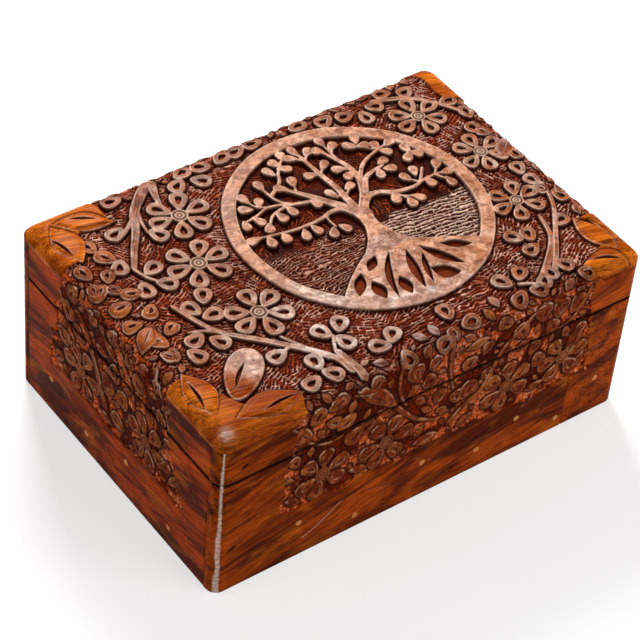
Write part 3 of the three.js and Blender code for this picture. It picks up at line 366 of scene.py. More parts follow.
def beads(points, size, seed):
    """Round grains: one less the squared reach to the nearest of a jittered grid of centres."""
    best = np.full(len(points), 1e9)
    for _, _, x, y in centres_near(points, size, seed, 0.15):
        best = np.minimum(best, x ** 2 + y ** 2)
    return np.clip(1 - best / (0.62 * size) ** 2, 0, 1)


def gouge_rows(points, angle, pitch, length, seed, waver=0.4, ends=1.0):
    """Rows of gouge cuts: hollows with thin ridges left between the rows and at the ends of the cuts. Across
    a row the height is the distance from its middle to a power, and along a cut to a higher power."""
    c, s = np.cos(angle), np.sin(angle)
    along = points[:, 0] * c + points[:, 1] * s
    across = -points[:, 0] * s + points[:, 1] * c
    across = across + 2 * waver * pitch * (cloud(np.column_stack([along, 1.6 * across]), 4.2, seed) - 0.5)
    across = across + waver * pitch * (cloud(points, 1.7, seed + 4) - 0.5)
    row = np.floor(across / pitch)
    stroke = along / length + 7 * scatter(row, 0 * row, seed)
    cut = np.floor(stroke)
    side = np.abs(2 * (across / pitch - row) - 1) ** 2.2
    end = np.abs(2 * (stroke - cut) - 1) ** 7
    tall = 0.4 + 0.6 * scatter(np.floor(across / pitch + 0.5), np.floor(along / length), seed + 1)
    return np.maximum(side * tall, ends * end * (0.35 + 0.5 * scatter(row, cut, seed + 2)))


# Outlines in the unfolded layout

def petal(x, y, heading, a, b, steps=30, taper=0.24):
    """Oval that narrows towards its foot: a cos t along, and b sin t, less the taper at the foot, across."""
    t = np.linspace(0, 2 * np.pi, steps, endpoint=False)
    u, v = a * np.cos(t), b * np.sin(t) * (1 + taper * (np.cos(t) - 0.3))
    c, s = direction(heading)
    return np.column_stack([x + u * c - v * s, y + u * s + v * c])


def turned_ends(x, y, heading, reach):
    """Both ends of a line through a point, reach to both sides along the heading."""
    c, s = direction(heading)
    return x - reach * c, y - reach * s, x + reach * c, y + reach * s


def lens(x0, y0, x1, y1, half, bend, steps=16):
    """Two arcs between two tips: half times a half sine to both sides, plus a bend of the middle."""
    start, end = np.array([x0, y0], float), np.array([x1, y1], float)
    along = end - start
    across = np.array([-along[1], along[0]]) / np.hypot(*along)
    t = np.linspace(0, 1, steps)[:, None]
    wave = np.sin(np.pi * t)
    near = start + along * t + across * wave * (bend - half)
    far = start + along * t + across * wave * (bend + half)
    return np.vstack([near, far[-2:0:-1]])


def curve_through(points, steps):
    """Smooth line through points: the cubic whose slope at each point is half the step across it."""
    p = np.array(points, float)
    p = np.vstack([p[:1], p, p[-1:]])
    t = np.linspace(0, 1, steps, endpoint=False)[:, None]
    pieces = []
    for i in range(len(p) - 3):
        p0, p1, p2, p3 = p[i:i + 4]
        a, b = (p2 - p0) / 2, (p3 - p1) / 2
        cube, square = 2 * p1 - 2 * p2 + a + b, -3 * p1 + 3 * p2 - 2 * a - b
        pieces.append(cube * t ** 3 + square * t ** 2 + a * t + p1)
    return np.vstack([*pieces, p[-1:]])


def strip(start_width, end_width, points):
    """Tapered stem: a smooth line widened to both sides, with rounded ends."""
    line = curve_through(points, 7 if len(points) > 2 else 4)
    slope = np.gradient(line, axis=0)
    slope /= np.linalg.norm(slope, axis=1)[:, None] + 1e-9
    across = np.column_stack([-slope[:, 1], slope[:, 0]])
    half = np.linspace(start_width, end_width, len(line))[:, None] / 2
    tip = line[-1:] + slope[-1:] * half[-1:]
    tail = line[:1] - slope[:1] * half[:1]
    return np.vstack([tail, line - across * half, tip, (line + across * half)[::-1]])


def circle(x, y, radius, steps=32):
    """Round outline."""
    t = np.linspace(0, 2 * np.pi, steps, endpoint=False)
    return np.column_stack([x + radius * np.cos(t), y + radius * np.sin(t)])


def softened(points, steps=4):
    """Closed outline through the points with its corners drawn smooth."""
    ring = list(points)
    line = curve_through([ring[-1], *ring, ring[0], ring[1]], steps)
    return line[steps:-steps - 1]


def outline_distance(points, outline, at_once=20000):
    """Signed distance to a closed outline, the nearest point on it and the outward normal there. Each
    straight stretch gives its nearest point and the least counts. A ray to the side that crosses an odd
    number of stretches means inside. Only so many points are worked out at once, to save memory."""
    start, end = outline, np.roll(outline, -1, axis=0)
    edge = end - start
    square = (edge ** 2).sum(1) + 1e-12
    slope = edge[:, 0] / np.where(np.abs(edge[:, 1]) < 1e-12, 1e-12, edge[:, 1])
    normal = np.column_stack([edge[:, 1], -edge[:, 0]]) / np.sqrt(square)[:, None]
    normal *= np.sign((start[:, 0] * end[:, 1] - start[:, 1] * end[:, 0]).sum())
    distance, nearest, outward = np.empty(len(points)), np.empty((len(points), 2)), np.empty((len(points), 2))
    for first in range(0, len(points), at_once):
        part = slice(first, first + at_once)
        px, py = points[part, 0:1], points[part, 1:2]
        t = ((px - start[:, 0]) * edge[:, 0] + (py - start[:, 1]) * edge[:, 1]) / square
        t = np.clip(t, 0, 1)
        nx, ny = start[:, 0] + t * edge[:, 0], start[:, 1] + t * edge[:, 1]
        gap = (px - nx) ** 2 + (py - ny) ** 2
        k = gap.argmin(1)
        rows = np.arange(len(px))
        crossed = ((start[:, 1] > py) != (end[:, 1] > py)) & (px < slope * (py - start[:, 1]) + start[:, 0])
        reach = np.sqrt(gap[rows, k])
        distance[part] = np.where(crossed.sum(1) % 2 == 1, -reach, reach)
        nearest[part] = np.column_stack([nx[rows, k], ny[rows, k]])
        outward[part] = normal[k]
    return distance, nearest, outward


# Carving: the relief as a height over the unfolded surface

# Tints of the wood, each a number at every point: uncut top, how pale that top is, fresh cut, painted shade,
# painted edge highlight, carved zone, worn corner (with a painted highlight at the lid's corner) and painted
# sheen
TINTS = ("top", "pale", "fresh", "shade", "edge", "carved", "worn", "sheen")
TOP, SHADE, CARVED, WORN = (TINTS.index(name) for name in ("top", "shade", "carved", "worn"))

# Width of the steep wall round a shape, and how far beyond the shape the carving still changes
WALL_WIDTH = 0.42
SHAPE_MARGIN = 2.6

# How far the tops of the flowers and buds lie below the plain wood, and how deep their eyes are
LID_DROP = 0.12
WALL_DROP = 0.1
LID_EYE = 1.5
WALL_EYE = 0.45

# A reach at which no grid line is drawn on to a contour
NOT_DRAWN = 9.0

# Heading of the outward normals whose edges get the strongest painted highlight on the lid
LID_HIGHLIGHT_FACING = (-0.94, -0.34)


def rib_wave(points, start, heading):
    """Fine ribs along a heading: a cosine of the distance across it, wavering and fading in places."""
    c, s = direction(heading)
    across = -(points[:, 0] - start[0]) * s + (points[:, 1] - start[1]) * c
    wave = 0.5 - 0.5 * np.cos(2 * np.pi * across / 1.7 + 3.5 * cloud(points, 3.0, 92))
    return wave * smooth(0.35, 0.6, cloud(points, 4.0, 93))


def rim_share(x, y, low, high):
    """How far a shape belongs to the lid's rim: 0 up to the share low of the flat top and 1 from high."""
    return float(smooth(low, high, max(abs(x) / FLAT_X, abs(y) / FLAT_Y)))


def on_front(turn, x, level):
    """Layout point of a place on the front wall or, where turn is -1, on the back wall."""
    return turn * x, turn * (level - LONG_FOOT)


def on_left(turn, y, level):
    """Layout point of a place on the left wall or, where turn is -1, on the right wall."""
    return turn * (level - SIDE_FOOT), turn * y


# Front and left wall: places in the layout, turn and mirroring of the headings, and the shapes
WALL_CARVINGS = (
    (on_front, 0, 1, FRONT_FLOWERS, FRONT_BUDS, FRONT_VINES, FRONT_LEAVES, FRONT_STROKES),
    (on_left, -90, -1, LEFT_FLOWERS, LEFT_BUDS, LEFT_VINES, LEFT_LEAVES, LEFT_STROKES),
)


class Relief:
    """Height below the surface and tints of the wood at a set of unfolded points."""

    def __init__(self, points, settings, fillers=()):
        self.points = points
        self.settings = settings
        self.fillers = fillers
        self.outlines = []
        self.height = np.zeros(len(points))
        for name in TINTS:
            setattr(self, name, np.zeros(len(points)))
        self.reach = np.full(len(points), 1e9)
        self.contour = points.copy()
        over_x, over_y = np.abs(points[:, 0]) - FLAT_X, np.abs(points[:, 1]) - FLAT_Y
        # Side is 0 on the lid and 1 on the walls, where the painted edge highlights lie on the upper sides
        self.side = smooth(1, 13, np.maximum(over_x, over_y))
        upwards = np.where((over_x > over_y)[:, None], points * (-1, 0), points * (0, -1))
        self.rubbed = np.where((self.side < 0.5)[:, None], LID_HIGHLIGHT_FACING, np.sign(upwards))

    def near(self, outline, margin):
        """Indices of the points within an outline's box and a margin."""
        low, high = outline.min(0) - margin, outline.max(0) + margin
        inside = (self.points > low) & (self.points < high)
        return np.flatnonzero(inside[:, 0] & inside[:, 1])

    def note_contour(self, index, distance, nearest):
        """Keeps the nearest contour of every point, so that grid lines can be drawn on to it."""
        closer = np.abs(distance) < self.reach[index]
        chosen = index[closer]
        self.reach[chosen] = np.abs(distance[closer])
        self.contour[chosen] = nearest[closer]

    def facing(self, index, outward):
        """How far outward normals point where the painted edge highlights are strongest: their cosine."""
        return (outward * self.rubbed[index]).sum(1)

    def bring(self, index, amount, **values):
        """Brings the height and tints towards new values by an amount from 0 to 1."""
        for name, value in values.items():
            field = getattr(self, name)
            field[index] += amount * (value - field[index])

    def at_least(self, index, **values):
        """Raises tints to new values where they are lower."""
        for name, value in values.items():
            tint = getattr(self, name)
            tint[index] = np.maximum(tint[index], value)

    def darken_foot(self, index, distance, dark, width):
        """Painted shade in the ground at the foot of a shape: a bell of the distance from it."""
        foot = dark * bell(np.maximum(distance - 0.35, 0), width) * (distance > 0) * (1 - self.top[index])
        self.at_least(index, shade=foot)
        return foot

    def cut_ground(self):
        """Lowers the carved field: a drop behind its outline, with rows of gouge cuts left standing."""
        p, s, side = self.points, self.settings, self.side
        distance, nearest, _ = outline_distance(p, np.array(GROUND, float))
        self.note_contour(np.arange(len(p)), np.where(side > 0.3, NOT_DRAWN, distance), nearest)
        ragged = distance + side * 4.4 * (cloud(p, 3.2, 5) - 0.5) + side * 3.4 * (cloud(p, 9.0, 6) - 0.5)
        field = smooth(0.25, -0.45, ragged)
        radius = np.hypot(p[:, 0] - RING[0], p[:, 1] - RING[1])
        medallion = smooth(RING_INNER + 1.2, RING_INNER + 0.6, radius) * (side < 0.5)
        border_depth = s.border_depth + (s.wall_depth - s.border_depth) * side
        depth = border_depth + (s.medallion_depth - border_depth) * medallion
        # Right half of the medallion, and the part below the tree's crown
        right = smooth(14, 26, p[:, 0])
        below = smooth(3.5, -2.5, p[:, 1] - 6 * (cloud(p, 14.0, 39) - 0.5) - 5 * (p[:, 0] < 10))
        pattern = self.ground_pattern(medallion, right, below)
        self.height -= field * (depth - (0.95 - 0.15 * side) * pattern)
        self.carved = np.maximum(self.carved, field)
        self.top = 1 - field
        self.tint_ground(field, ragged, pattern, medallion, right, below)

    def ground_pattern(self, medallion, right, below):
        """What the gouge leaves standing, from 0 to 1: rows that turn from patch to patch, nearly level rows
        in the lower medallion and in a strip at the front, and grains on the walls."""
        p = self.points
        number = patches(p, 13.0, 11)
        rows = gouge_rows(p, number * 2.3 - 1.4, 1.9, 3.4, 21)
        flat_rows = gouge_rows(p, 0 * number + 0.03, 2.2, 6.0, 23, 0.5, 0.5)
        strip_zone = smooth(2, 0, np.abs(p[:, 0] - 16) - 26) * smooth(2, 0, np.abs(p[:, 1] + 76) - 13)
        rows = rows + (flat_rows - rows) * strip_zone
        tilt = np.where(p[:, 0] > 22, -0.13, 0.35 * (cloud(p, 22.0, 31) - 0.4))
        lower = gouge_rows(p, tilt, 1.7, 3.2, 33, 0.6, 0.8) * (1 - right)
        lower += gouge_rows(p, tilt, 2.2, 3.4, 34, 0.4, 0.6) * right
        upper = gouge_rows(p, number * np.pi, 2.1, 4.0, 35) * smooth(0.2, 0.5, cloud(p, 9.0, 37))
        medal_rows = lower * below + 0.75 * upper * (1 - below)
        cell = np.floor(p / 1.8)
        grains = beads(p, 1.8, 41) * (0.45 + 0.55 * scatter(cell[:, 0], cell[:, 1], 42))
        grains = np.maximum(grains, 0.85 * gouge_rows(p, number * np.pi, 1.9, 2.6, 43))
        pattern = rows * (1 - self.side) + grains * self.side
        return pattern + (medal_rows - pattern) * medallion

    def tint_ground(self, field, ragged, pattern, medallion, right, below):
        """Tints of the cut ground: ridges with painted highlights and fresh cut colour, and troughs with
        painted shade, each with its own strength on the border, low and high in the medallion, and on the
        walls."""
        p, wall = self.points, self.side
        x, y = p[:, 0], p[:, 1]
        border, low, high = (1 - wall) * (1 - medallion), medallion * below, medallion * (1 - below)
        ridge, crest = smooth(0.16, 0.6, pattern), smooth(0.5, 0.85, pattern)
        trough = 1 - smooth(0.03, 0.35, pattern)
        low_ridge = np.where(right > 0.5, smooth(0.1, 0.45, pattern), ridge)
        glint = smooth(0.35, 0.65, cloud(p, 2.3, 53))
        band = smooth(-7.5, -1.5, ragged) * smooth(0.25, 0.45, cloud(p, 6.0, 52))
        patchy = np.clip(smooth(0.5, 0.62, cloud(p, 10.0, 51)) + band, 0, 1)
        left_rim = smooth(-84, -100, x) * (x < 0)
        clear = smooth(0.3, 0.65, cloud(p, 11.0, 54))
        clear = clear + smooth(60, 90, x) * (1 - clear)
        # Painted highlights on the ridges, uneven from place to place
        rubbed = border * ridge * (0.04 + 0.3 * glint + 0.5 * glint * clear)
        rubbed += low * low_ridge * (0.25 + 0.7 * right + 0.45 * glint)
        rubbed += high * crest * 0.5 * glint
        rubbed += wall * crest * patchy * (0.25 + 0.75 * glint)
        self.edge = field * np.clip(rubbed, 0, 1)
        slope = 4 * wall * (1 - wall)
        bright = border * ridge * (0.35 + 0.4 * glint + 0.25 * left_rim)
        bright += high * ridge * 0.7
        bright += low * ridge * 0.4
        bright += wall * patchy * (0.45 + 0.55 * ridge)
        bright += 0.5 * slope * ridge * left_rim
        self.fresh = field * np.clip(bright, 0, 1)
        # Painted shade in the troughs, and over the ground of the upper medallion
        deep = 0.6 * trough * border + low * 0.75 * trough + high * (0.6 - 0.5 * ridge)
        deep += wall * (0.65 * trough + 0.3 * (1 - patchy) * (1 - ridge))
        self.shade = field * np.clip(deep, 0, 1)
        # Painted sheen lies mostly at the front left of the lid
        glow = np.exp(-((x + 30) / 42) ** 2 - ((y + 54) / 28) ** 2)
        polish = 0.04 + 0.95 * glow + 0.55 * (cloud(p, 15.0, 95) - 0.45) + 0.5 * (cloud(p, 4.0, 96) - 0.5)
        polish -= 0.4 * smooth(-80, -108, x)
        polish -= 0.2 * smooth(62, 80, y)
        self.sheen = polish * (1 - wall)

    def raise_shape(self, outline, drop, pale, cuts=(), crown=0.0, crown_width=3.0, tint=0.85, plain=0.0,
                    dark=0.9, ribs=None):
        """Adds one raised shape: its top, rounded off within its outline and sunk in its cuts, ends in a
        steep wall outside it, with painted shade at the foot, on the outline and in the cuts, and a painted
        highlight inside the edge. Where shapes meet, the higher one stays. A cut is an outline, a depth and
        the width of its rounding. Ribs are fine cuts along a heading."""
        self.outlines.append(outline)
        index = self.near(outline, SHAPE_MARGIN)
        if not len(index):
            return
        p, side = self.points[index], self.side[index]
        distance, nearest, outward = outline_distance(p, outline)
        self.note_contour(index, distance, nearest)
        foot = self.darken_foot(index, distance, dark, 0.8)
        self.edge[index] *= 1 - foot
        self.fresh[index] *= 1 - foot
        level = np.full(len(index), -drop)
        level -= crown * (1 - smooth(0, crown_width, -distance))
        level -= eased(-distance, 0.4, 0.12)
        surface, floor = np.ones(len(index)), np.zeros(len(index))
        # A painted highlight inside the outline, strongest on edges that face the light, and painted shade on
        # the outline
        uneven = smooth(0.35 + 0.1 * side, 0.6 + 0.06 * side, cloud(p, 3.2, 91))
        uneven = 0.35 - 0.3 * side + (0.65 + 0.3 * side) * uneven
        rubbed = 0.25 + 0.75 * smooth(-0.2, 0.6, self.facing(index, outward))
        line = bell(distance + 0.4, 0.34 - 0.04 * side) * rubbed * uneven
        hollow = 0.5 * dark * smooth(-0.3, 0.0, distance)
        for cut_outline, cut_depth, rounding in cuts:
            cut_distance, cut_nearest, cut_outward = outline_distance(p, cut_outline)
            if rounding < 0.6:
                self.note_contour(index, cut_distance, cut_nearest)
            sunk = smooth(0.08, -rounding, cut_distance)
            level -= cut_depth * sunk
            surface *= 1 - sunk
            # Painted shade round the rim of the cut and on its floor, and a painted highlight on its lip
            painted_shade = np.maximum(dark * bell(cut_distance + 0.32, 0.4), 0.15 * sunk)
            hollow = np.maximum(hollow, painted_shade * (0.4 + 0.6 * min(cut_depth, 1)))
            floor = np.maximum(floor, smooth(-0.45, -1.0, cut_distance))
            lip = 0.2 + 0.8 * smooth(0.2, -0.6, self.facing(index, cut_outward))
            lip = 0.8 * lip * uneven * bell(cut_distance - 0.25, 0.27) * (distance < 0)
            line = np.maximum(line, lip)
        # Ribs cut into the top, with painted shade in their troughs
        if ribs is not None:
            wave = rib_wave(p, outline[0], ribs)
            level -= 0.28 * wave
            hollow = np.maximum(hollow, 0.45 * wave ** 2)
        body = 1 - smooth(0.02, WALL_WIDTH, distance)
        higher = (level > self.height[index]) | (distance < -0.4)
        amount = np.where(higher, body, 0)
        self.bring(index, amount, height=level, top=surface, pale=pale, fresh=0.4 * floor, shade=hollow,
                   edge=line * tint)
        self.carved[index] *= 1 - amount * plain

    def groove(self, outline, depth, width, light=0.0, dark=0.0):
        """Cuts a shallow groove inside an outline, with a painted highlight along its edge and painted shade
        on its floor.
        """
        index = self.near(outline, width + 0.8)
        if not len(index):
            return
        p = self.points[index]
        distance, _, outward = outline_distance(p, outline)
        sunk = smooth(width, -width, distance)
        self.height[index] -= depth * sunk
        rim = bell(distance - 0.35, 0.25) * smooth(0.3, 0.6, cloud(p, 3.0, 98))
        rim *= smooth(0.0, -0.7, self.facing(index, outward))
        self.at_least(index, edge=light * rim, shade=dark * sunk)

    def eyed_petal(self, outline, eye, pale, on_lid, crown, ribs):
        """One petal with an almond eye, shallower and ribbed on the walls."""
        if on_lid:
            self.raise_shape(outline, LID_DROP, pale, [(eye, LID_EYE, 0.45)])
        else:
            self.raise_shape(outline, WALL_DROP, pale, [(eye, WALL_EYE, 0.6)], crown=crown, crown_width=2.0,
                             tint=1.0, ribs=ribs)

    def flower(self, x, y, turn, size, pale, on_lid=True):
        """Six petals with hollow eyes round a knob with a ring cut into it."""
        for i in range(6):
            heading = turn + 60 * i + 5 * math.sin(3.7 * i + x)
            c, s = direction(heading)
            px, py = x + 10.7 * size * c, y + 10.7 * size * s
            long = (6.55 + 0.25 * math.sin(5.1 * i + y)) * size
            outline = petal(px, py, heading, long, 5.15 * size, taper=0.4)
            if on_lid:
                eye = petal(px + 0.6 * c, py + 0.6 * s, heading, 3.2 * size, 1.8 * size, 18, 0.5)
            else:
                eye = petal(px, py, heading, 2.7 * size, 1.3 * size, 16, 0.5)
            self.eyed_petal(outline, eye, pale, on_lid, 0.4, heading + 12)
        drop, tint = (LID_DROP, 0.85) if on_lid else (WALL_DROP, 0.4)
        self.raise_shape(circle(x, y, 4.5 * size), drop, pale + 0.1 * on_lid, tint=tint)
        index = self.near(circle(x, y, 4.2 * size, 12), 0.0)
        radius = np.hypot(*(self.points[index] - (x, y)).T) / size
        # Painted shade in the knob's two ring ditches, and a painted highlight on the knob between them
        ditch = np.maximum(bell(radius - 3.05, 0.5), 0.85 * bell(radius - 1.15, 0.36))
        light, dark = (0.5, 0.9) if on_lid else (0.15, 0.6)
        self.height[index] -= 0.6 * ditch
        self.at_least(index, edge=light * (radius < 4.0), shade=dark * ditch)
        self.edge[index] *= 1 - ditch

    def bud(self, x, y, heading, size, pale, on_lid=True):
        """One petal by itself."""
        outline = petal(x, y, heading, 5.7 * size, 4.95 * size, taper=0.3)
        if on_lid:
            c, s = direction(heading)
            eye = petal(x + 0.4 * c, y + 0.4 * s, heading, 2.75 * size, 1.8 * size, 18, 0.45)
        else:
            eye = petal(x, y, heading, 2.6 * size, 1.2 * size, 16, 0.5)
        self.eyed_petal(outline, eye, pale, on_lid, 0.45, heading + 9)

    def carve(self):
        """Carves the whole layout. A later shape lies over an earlier one."""
        self.cut_ground()
        self.carve_border()
        self.carve_walls()
        self.carve_corners()
        self.carve_medallion()
        self.height = np.minimum(self.height, 0)

    def carve_border(self):
        """Carves the fillers, and the flowers, vines and buds of the lid's border."""
        for x, y, heading, size in self.fillers:
            leaf = lens(*turned_ends(x, y, heading, 5.4 * size), 2.9 * size, 0.5 * size)
            pale = 0.25 - 0.25 * rim_share(x, y, 0.9, 1.05)
            self.raise_shape(leaf, 0.25, pale, crown=0.45, crown_width=2.0, tint=0.45, dark=0.8,
                             ribs=heading + 8)
        for flower in FLOWERS:
            self.flower(*flower, 0.62)
        for start_width, end_width, *points in VINES:
            (x, y), (far_x, far_y) = points[0], points[-1]
            # Those at the left back are brown and ribbed
            brown = float(smooth(-40, -60, x) * smooth(30, 50, y))
            heading = math.degrees(math.atan2(far_y - y, far_x - x))
            self.raise_shape(strip(start_width + 0.2, end_width + 0.2, points), LID_DROP, 0.6 - 0.35 * brown,
                             ribs=heading if brown > 0.5 else None)
        for x, y, heading in BUDS:
            at_front_right = float(smooth(40, 70, x) * smooth(-30, -60, y))
            brown = max(rim_share(x, y, 0.82, 1.0), 0.7 * at_front_right)
            self.bud(x, y, heading, 1.0 if x < 60 else 0.92, 0.62 - 0.35 * brown)
        for x, y, heading, a, b in DOMED_BUDS:
            slit = lens(*turned_ends(x, y, heading, 0.5 * a), 1.0, 0.6)
            self.raise_shape(petal(x, y, heading, a, b, taper=0.3), 0.1, 0.35, [(slit, 0.9, 0.7)], crown=0.7,
                             crown_width=2.8, tint=0.7, plain=0.35, ribs=heading + 20)

    def carve_walls(self):
        """Carves the shapes of the four walls: the front and left ones, and both turned half round."""
        for turn, half_turn in ((1, 0), (-1, 180)):
            for place, swing, mirror, flowers, buds, vines, leaves, strokes in WALL_CARVINGS:
                swing = half_turn + swing
                for x, level, heading in flowers:
                    self.flower(*place(turn, x, level), swing + mirror * heading, 0.95, 0.0, on_lid=False)
                for x, level, heading in buds:
                    size = 0.95 + 0.2 * math.sin(1.9 * x + level)
                    self.bud(*place(turn, x, level), swing + mirror * heading, size, 0.05, on_lid=False)
                for start_width, end_width, *points in vines:
                    outline = strip(start_width, end_width, [place(turn, *point) for point in points])
                    self.raise_shape(outline, 0.08, 0.0, crown=0.3, crown_width=1.0, tint=0.8, dark=0.8)
                for x, level, far_x, far_level, half, bend in leaves:
                    start, end = np.array([place(turn, x, level), place(turn, far_x, far_level)])
                    vein = lens(*(start * 0.8 + end * 0.2), *(end * 0.8 + start * 0.2), 0.35, 0.0)
                    self.raise_shape(lens(*start, *end, half, mirror * bend), 0.06, 0.0, [(vein, 0.5, 0.6)],
                                     crown=0.5, crown_width=2.2, tint=0.8, dark=0.8)
                for x, level, far_x, far_level, bend, light in strokes:
                    cut = lens(*place(turn, x, level), *place(turn, far_x, far_level), 0.25, mirror * bend)
                    self.groove(cut, 0.35, 0.25, light, 0.75)
        for x, level, far_x, far_level, half in FRONT_CRACKS:
            crack = lens(*on_front(1, x, level), *on_front(1, far_x, far_level), half, 0.0)
            self.groove(crack, 0.5, 0.3, dark=1.0)

    def carve_corners(self):
        """Carves the large plain leaves at the corners of the lid, each with a slit along it."""
        for leaf in CORNER_LEAVES:
            outline = lens(*leaf[:6])
            # Painted shade in a groove round each leaf
            self.groove(outline, 0.7, 0.9, dark=0.95)
            self.raise_shape(outline, 0.03, 0.4, [(lens(*leaf[6:], 0.9, 0.9), 1.6, 0.9)], crown=0.8,
                             crown_width=3.4, tint=0.7, plain=1.0)
        outline = petal(*BROAD_LEAF, taper=0.2)
        self.raise_shape(outline, 0.03, 1.0, [(lens(*BROAD_SLIT, 1.1, 0.9), 1.6, 0.9)], crown=0.35)
        # The far half of the broad leaf is painted pale with sheen, and the near half is plain wood
        index = self.near(outline, 0.0)
        inside = smooth(0.3, -0.5, outline_distance(self.points[index], outline)[0])
        far = smooth(-8, 3, (self.points[index] - BROAD_LEAF[:2]) @ (0.85, 0.53))
        self.at_least(index, sheen=0.55 * inside * far)
        self.carved[index] *= 1 - inside * (1 - far)

    def carve_medallion(self):
        """Carves the ring and the tree inside it."""
        ring = circle(*RING, RING_OUTER)
        self.outlines.append(ring)
        index = self.near(ring, 2.5)
        if len(index):
            self.carve_ring(index)
            self.carve_branches()
            self.carve_trunk()

    def carve_ring(self, index):
        """Raises the ring: a band round a middle radius that wobbles with the angle, with short nicks."""
        offset = self.points[index] - RING
        radius = np.hypot(*offset.T)
        unit = offset / radius[:, None]
        middle, half = (RING_OUTER + RING_INNER) / 2, (RING_OUTER - RING_INNER) / 2
        around = np.arctan2(unit[:, 1], unit[:, 0])
        wobble = 0.25 * np.sin(3 * around + 1) + 0.15 * np.sin(11 * around)
        distance = np.abs(radius - middle - wobble) - half
        side = np.sign(radius - middle - wobble)
        self.note_contour(index, distance, RING + unit * (middle + wobble + side * half)[:, None])
        # Painted shade at the ring's foot
        self.darken_foot(index, distance, 0.9, 1.0)
        body = 1 - smooth(0.02, WALL_WIDTH, distance)
        self.shade[index] *= 1 - body
        self.fresh[index] *= 1 - body
        # A painted highlight along both edges of the ring, uneven from place to place
        rub = 0.3 + 0.7 * smooth(0.3, 0.7, cloud(self.points[index], 3.0, 94))
        self.bring(index, body, height=-0.02 - eased(-distance, 0.8, 0.25), top=1, pale=1.0,
                   edge=0.8 * rub * bell(distance + 0.25, 0.3))
        # Painted sheen on the front of the ring
        front = bell(np.mod(around + 0.4 * np.pi, 2 * np.pi) - 1.75 * np.pi, 0.7)
        self.sheen[index] += body * (0.9 * front - 0.02)
        # Short nicks, with painted shade in them
        for i in range(18):
            turn = 2.399 * i
            start = middle - half + 0.6 + 1.5 * (i % 3)
            reach = 2.0 + 1.1 * (i % 2)
            x, y = RING[0] + start * math.cos(turn), RING[1] + start * math.sin(turn)
            lean = turn + 0.5 * math.sin(i)
            nick = lens(x, y, x + reach * math.cos(lean), y + reach * math.sin(lean), 0.1, 0.15)
            self.groove(nick, 0.12, 0.2, dark=0.75)

    def carve_branches(self):
        """Raises the branches and the leaves of the tree."""
        for start_width, end_width, *points in BRANCHES:
            outline = strip(0.98 * start_width + 0.1, 0.85 * end_width + 0.1, points)
            self.raise_shape(outline, 0.2, 0.95, dark=0.97)
        for x, y, heading in TREE_LEAVES:
            a, b = 4.0 + 0.3 * math.sin(x * 3.1 + y), 2.8 + 0.2 * math.sin(x + 2.3 * y)
            leaf = petal(x, y, heading, a, b, 20, 0.42)
            # Painted shade round each leaf, with nothing cut away
            self.groove(leaf, 0.0, 0.5, dark=0.55)
            self.raise_shape(leaf, 0.1, 1.0, crown=0.06, crown_width=1.4, dark=0.97)

    def carve_trunk(self):
        """Raises the trunk and the root fan, cut off at the ring, with painted shade in the openings and a
        hatched knot.
        """
        holes = [(lens(*hole[:4], 1.12 * hole[4], hole[5]), 2.1, 0.5) for hole in ROOT_HOLES]
        index = self.near(np.array(TRUNK, float), SHAPE_MARGIN)
        radius = np.hypot(*(self.points[index] - RING).T)
        share = smooth(RING_INNER + 1.7, RING_INNER + 0.9, radius)
        names = ("height", "top", "pale", "shade", "edge")
        before = {name: getattr(self, name)[index].copy() for name in names}
        self.raise_shape(softened(TRUNK), 0.03, 0.97, holes)
        for name, value in before.items():
            field = getattr(self, name)
            field[index] = value + share * (field[index] - value)
        trunk = index[radius < RING_INNER]
        p = self.points[trunk]
        # Painted shade in the openings between the roots
        for hole, _, _ in holes:
            distance, _, _ = outline_distance(p, hole)
            self.at_least(trunk, shade=0.5 * smooth(0.1, -0.5, distance))
        # A hatched band: cut lines with painted shade in them, and painted sheen over the band
        zone = smooth(3, 0, np.abs(p[:, 1] + 15.5) - 3.5) * (self.top[trunk] > 0.5)
        steep = gouge_rows(p, 0 * p[:, 0] + 1.35, 1.3, 3.0, 61)
        hatch = np.maximum(steep, gouge_rows(p, 0 * p[:, 0] + 0.3, 1.5, 5.0, 62))
        self.height[trunk] -= 0.22 * zone * hatch
        self.at_least(trunk, shade=0.7 * zone * hatch)
        self.sheen[trunk] += 0.25 * zone

    def drawn(self, most):
        """Shift of each point on to its nearest contour, where that is closer than most."""
        return np.where((self.reach < most)[:, None], self.contour - self.points, 0.0)


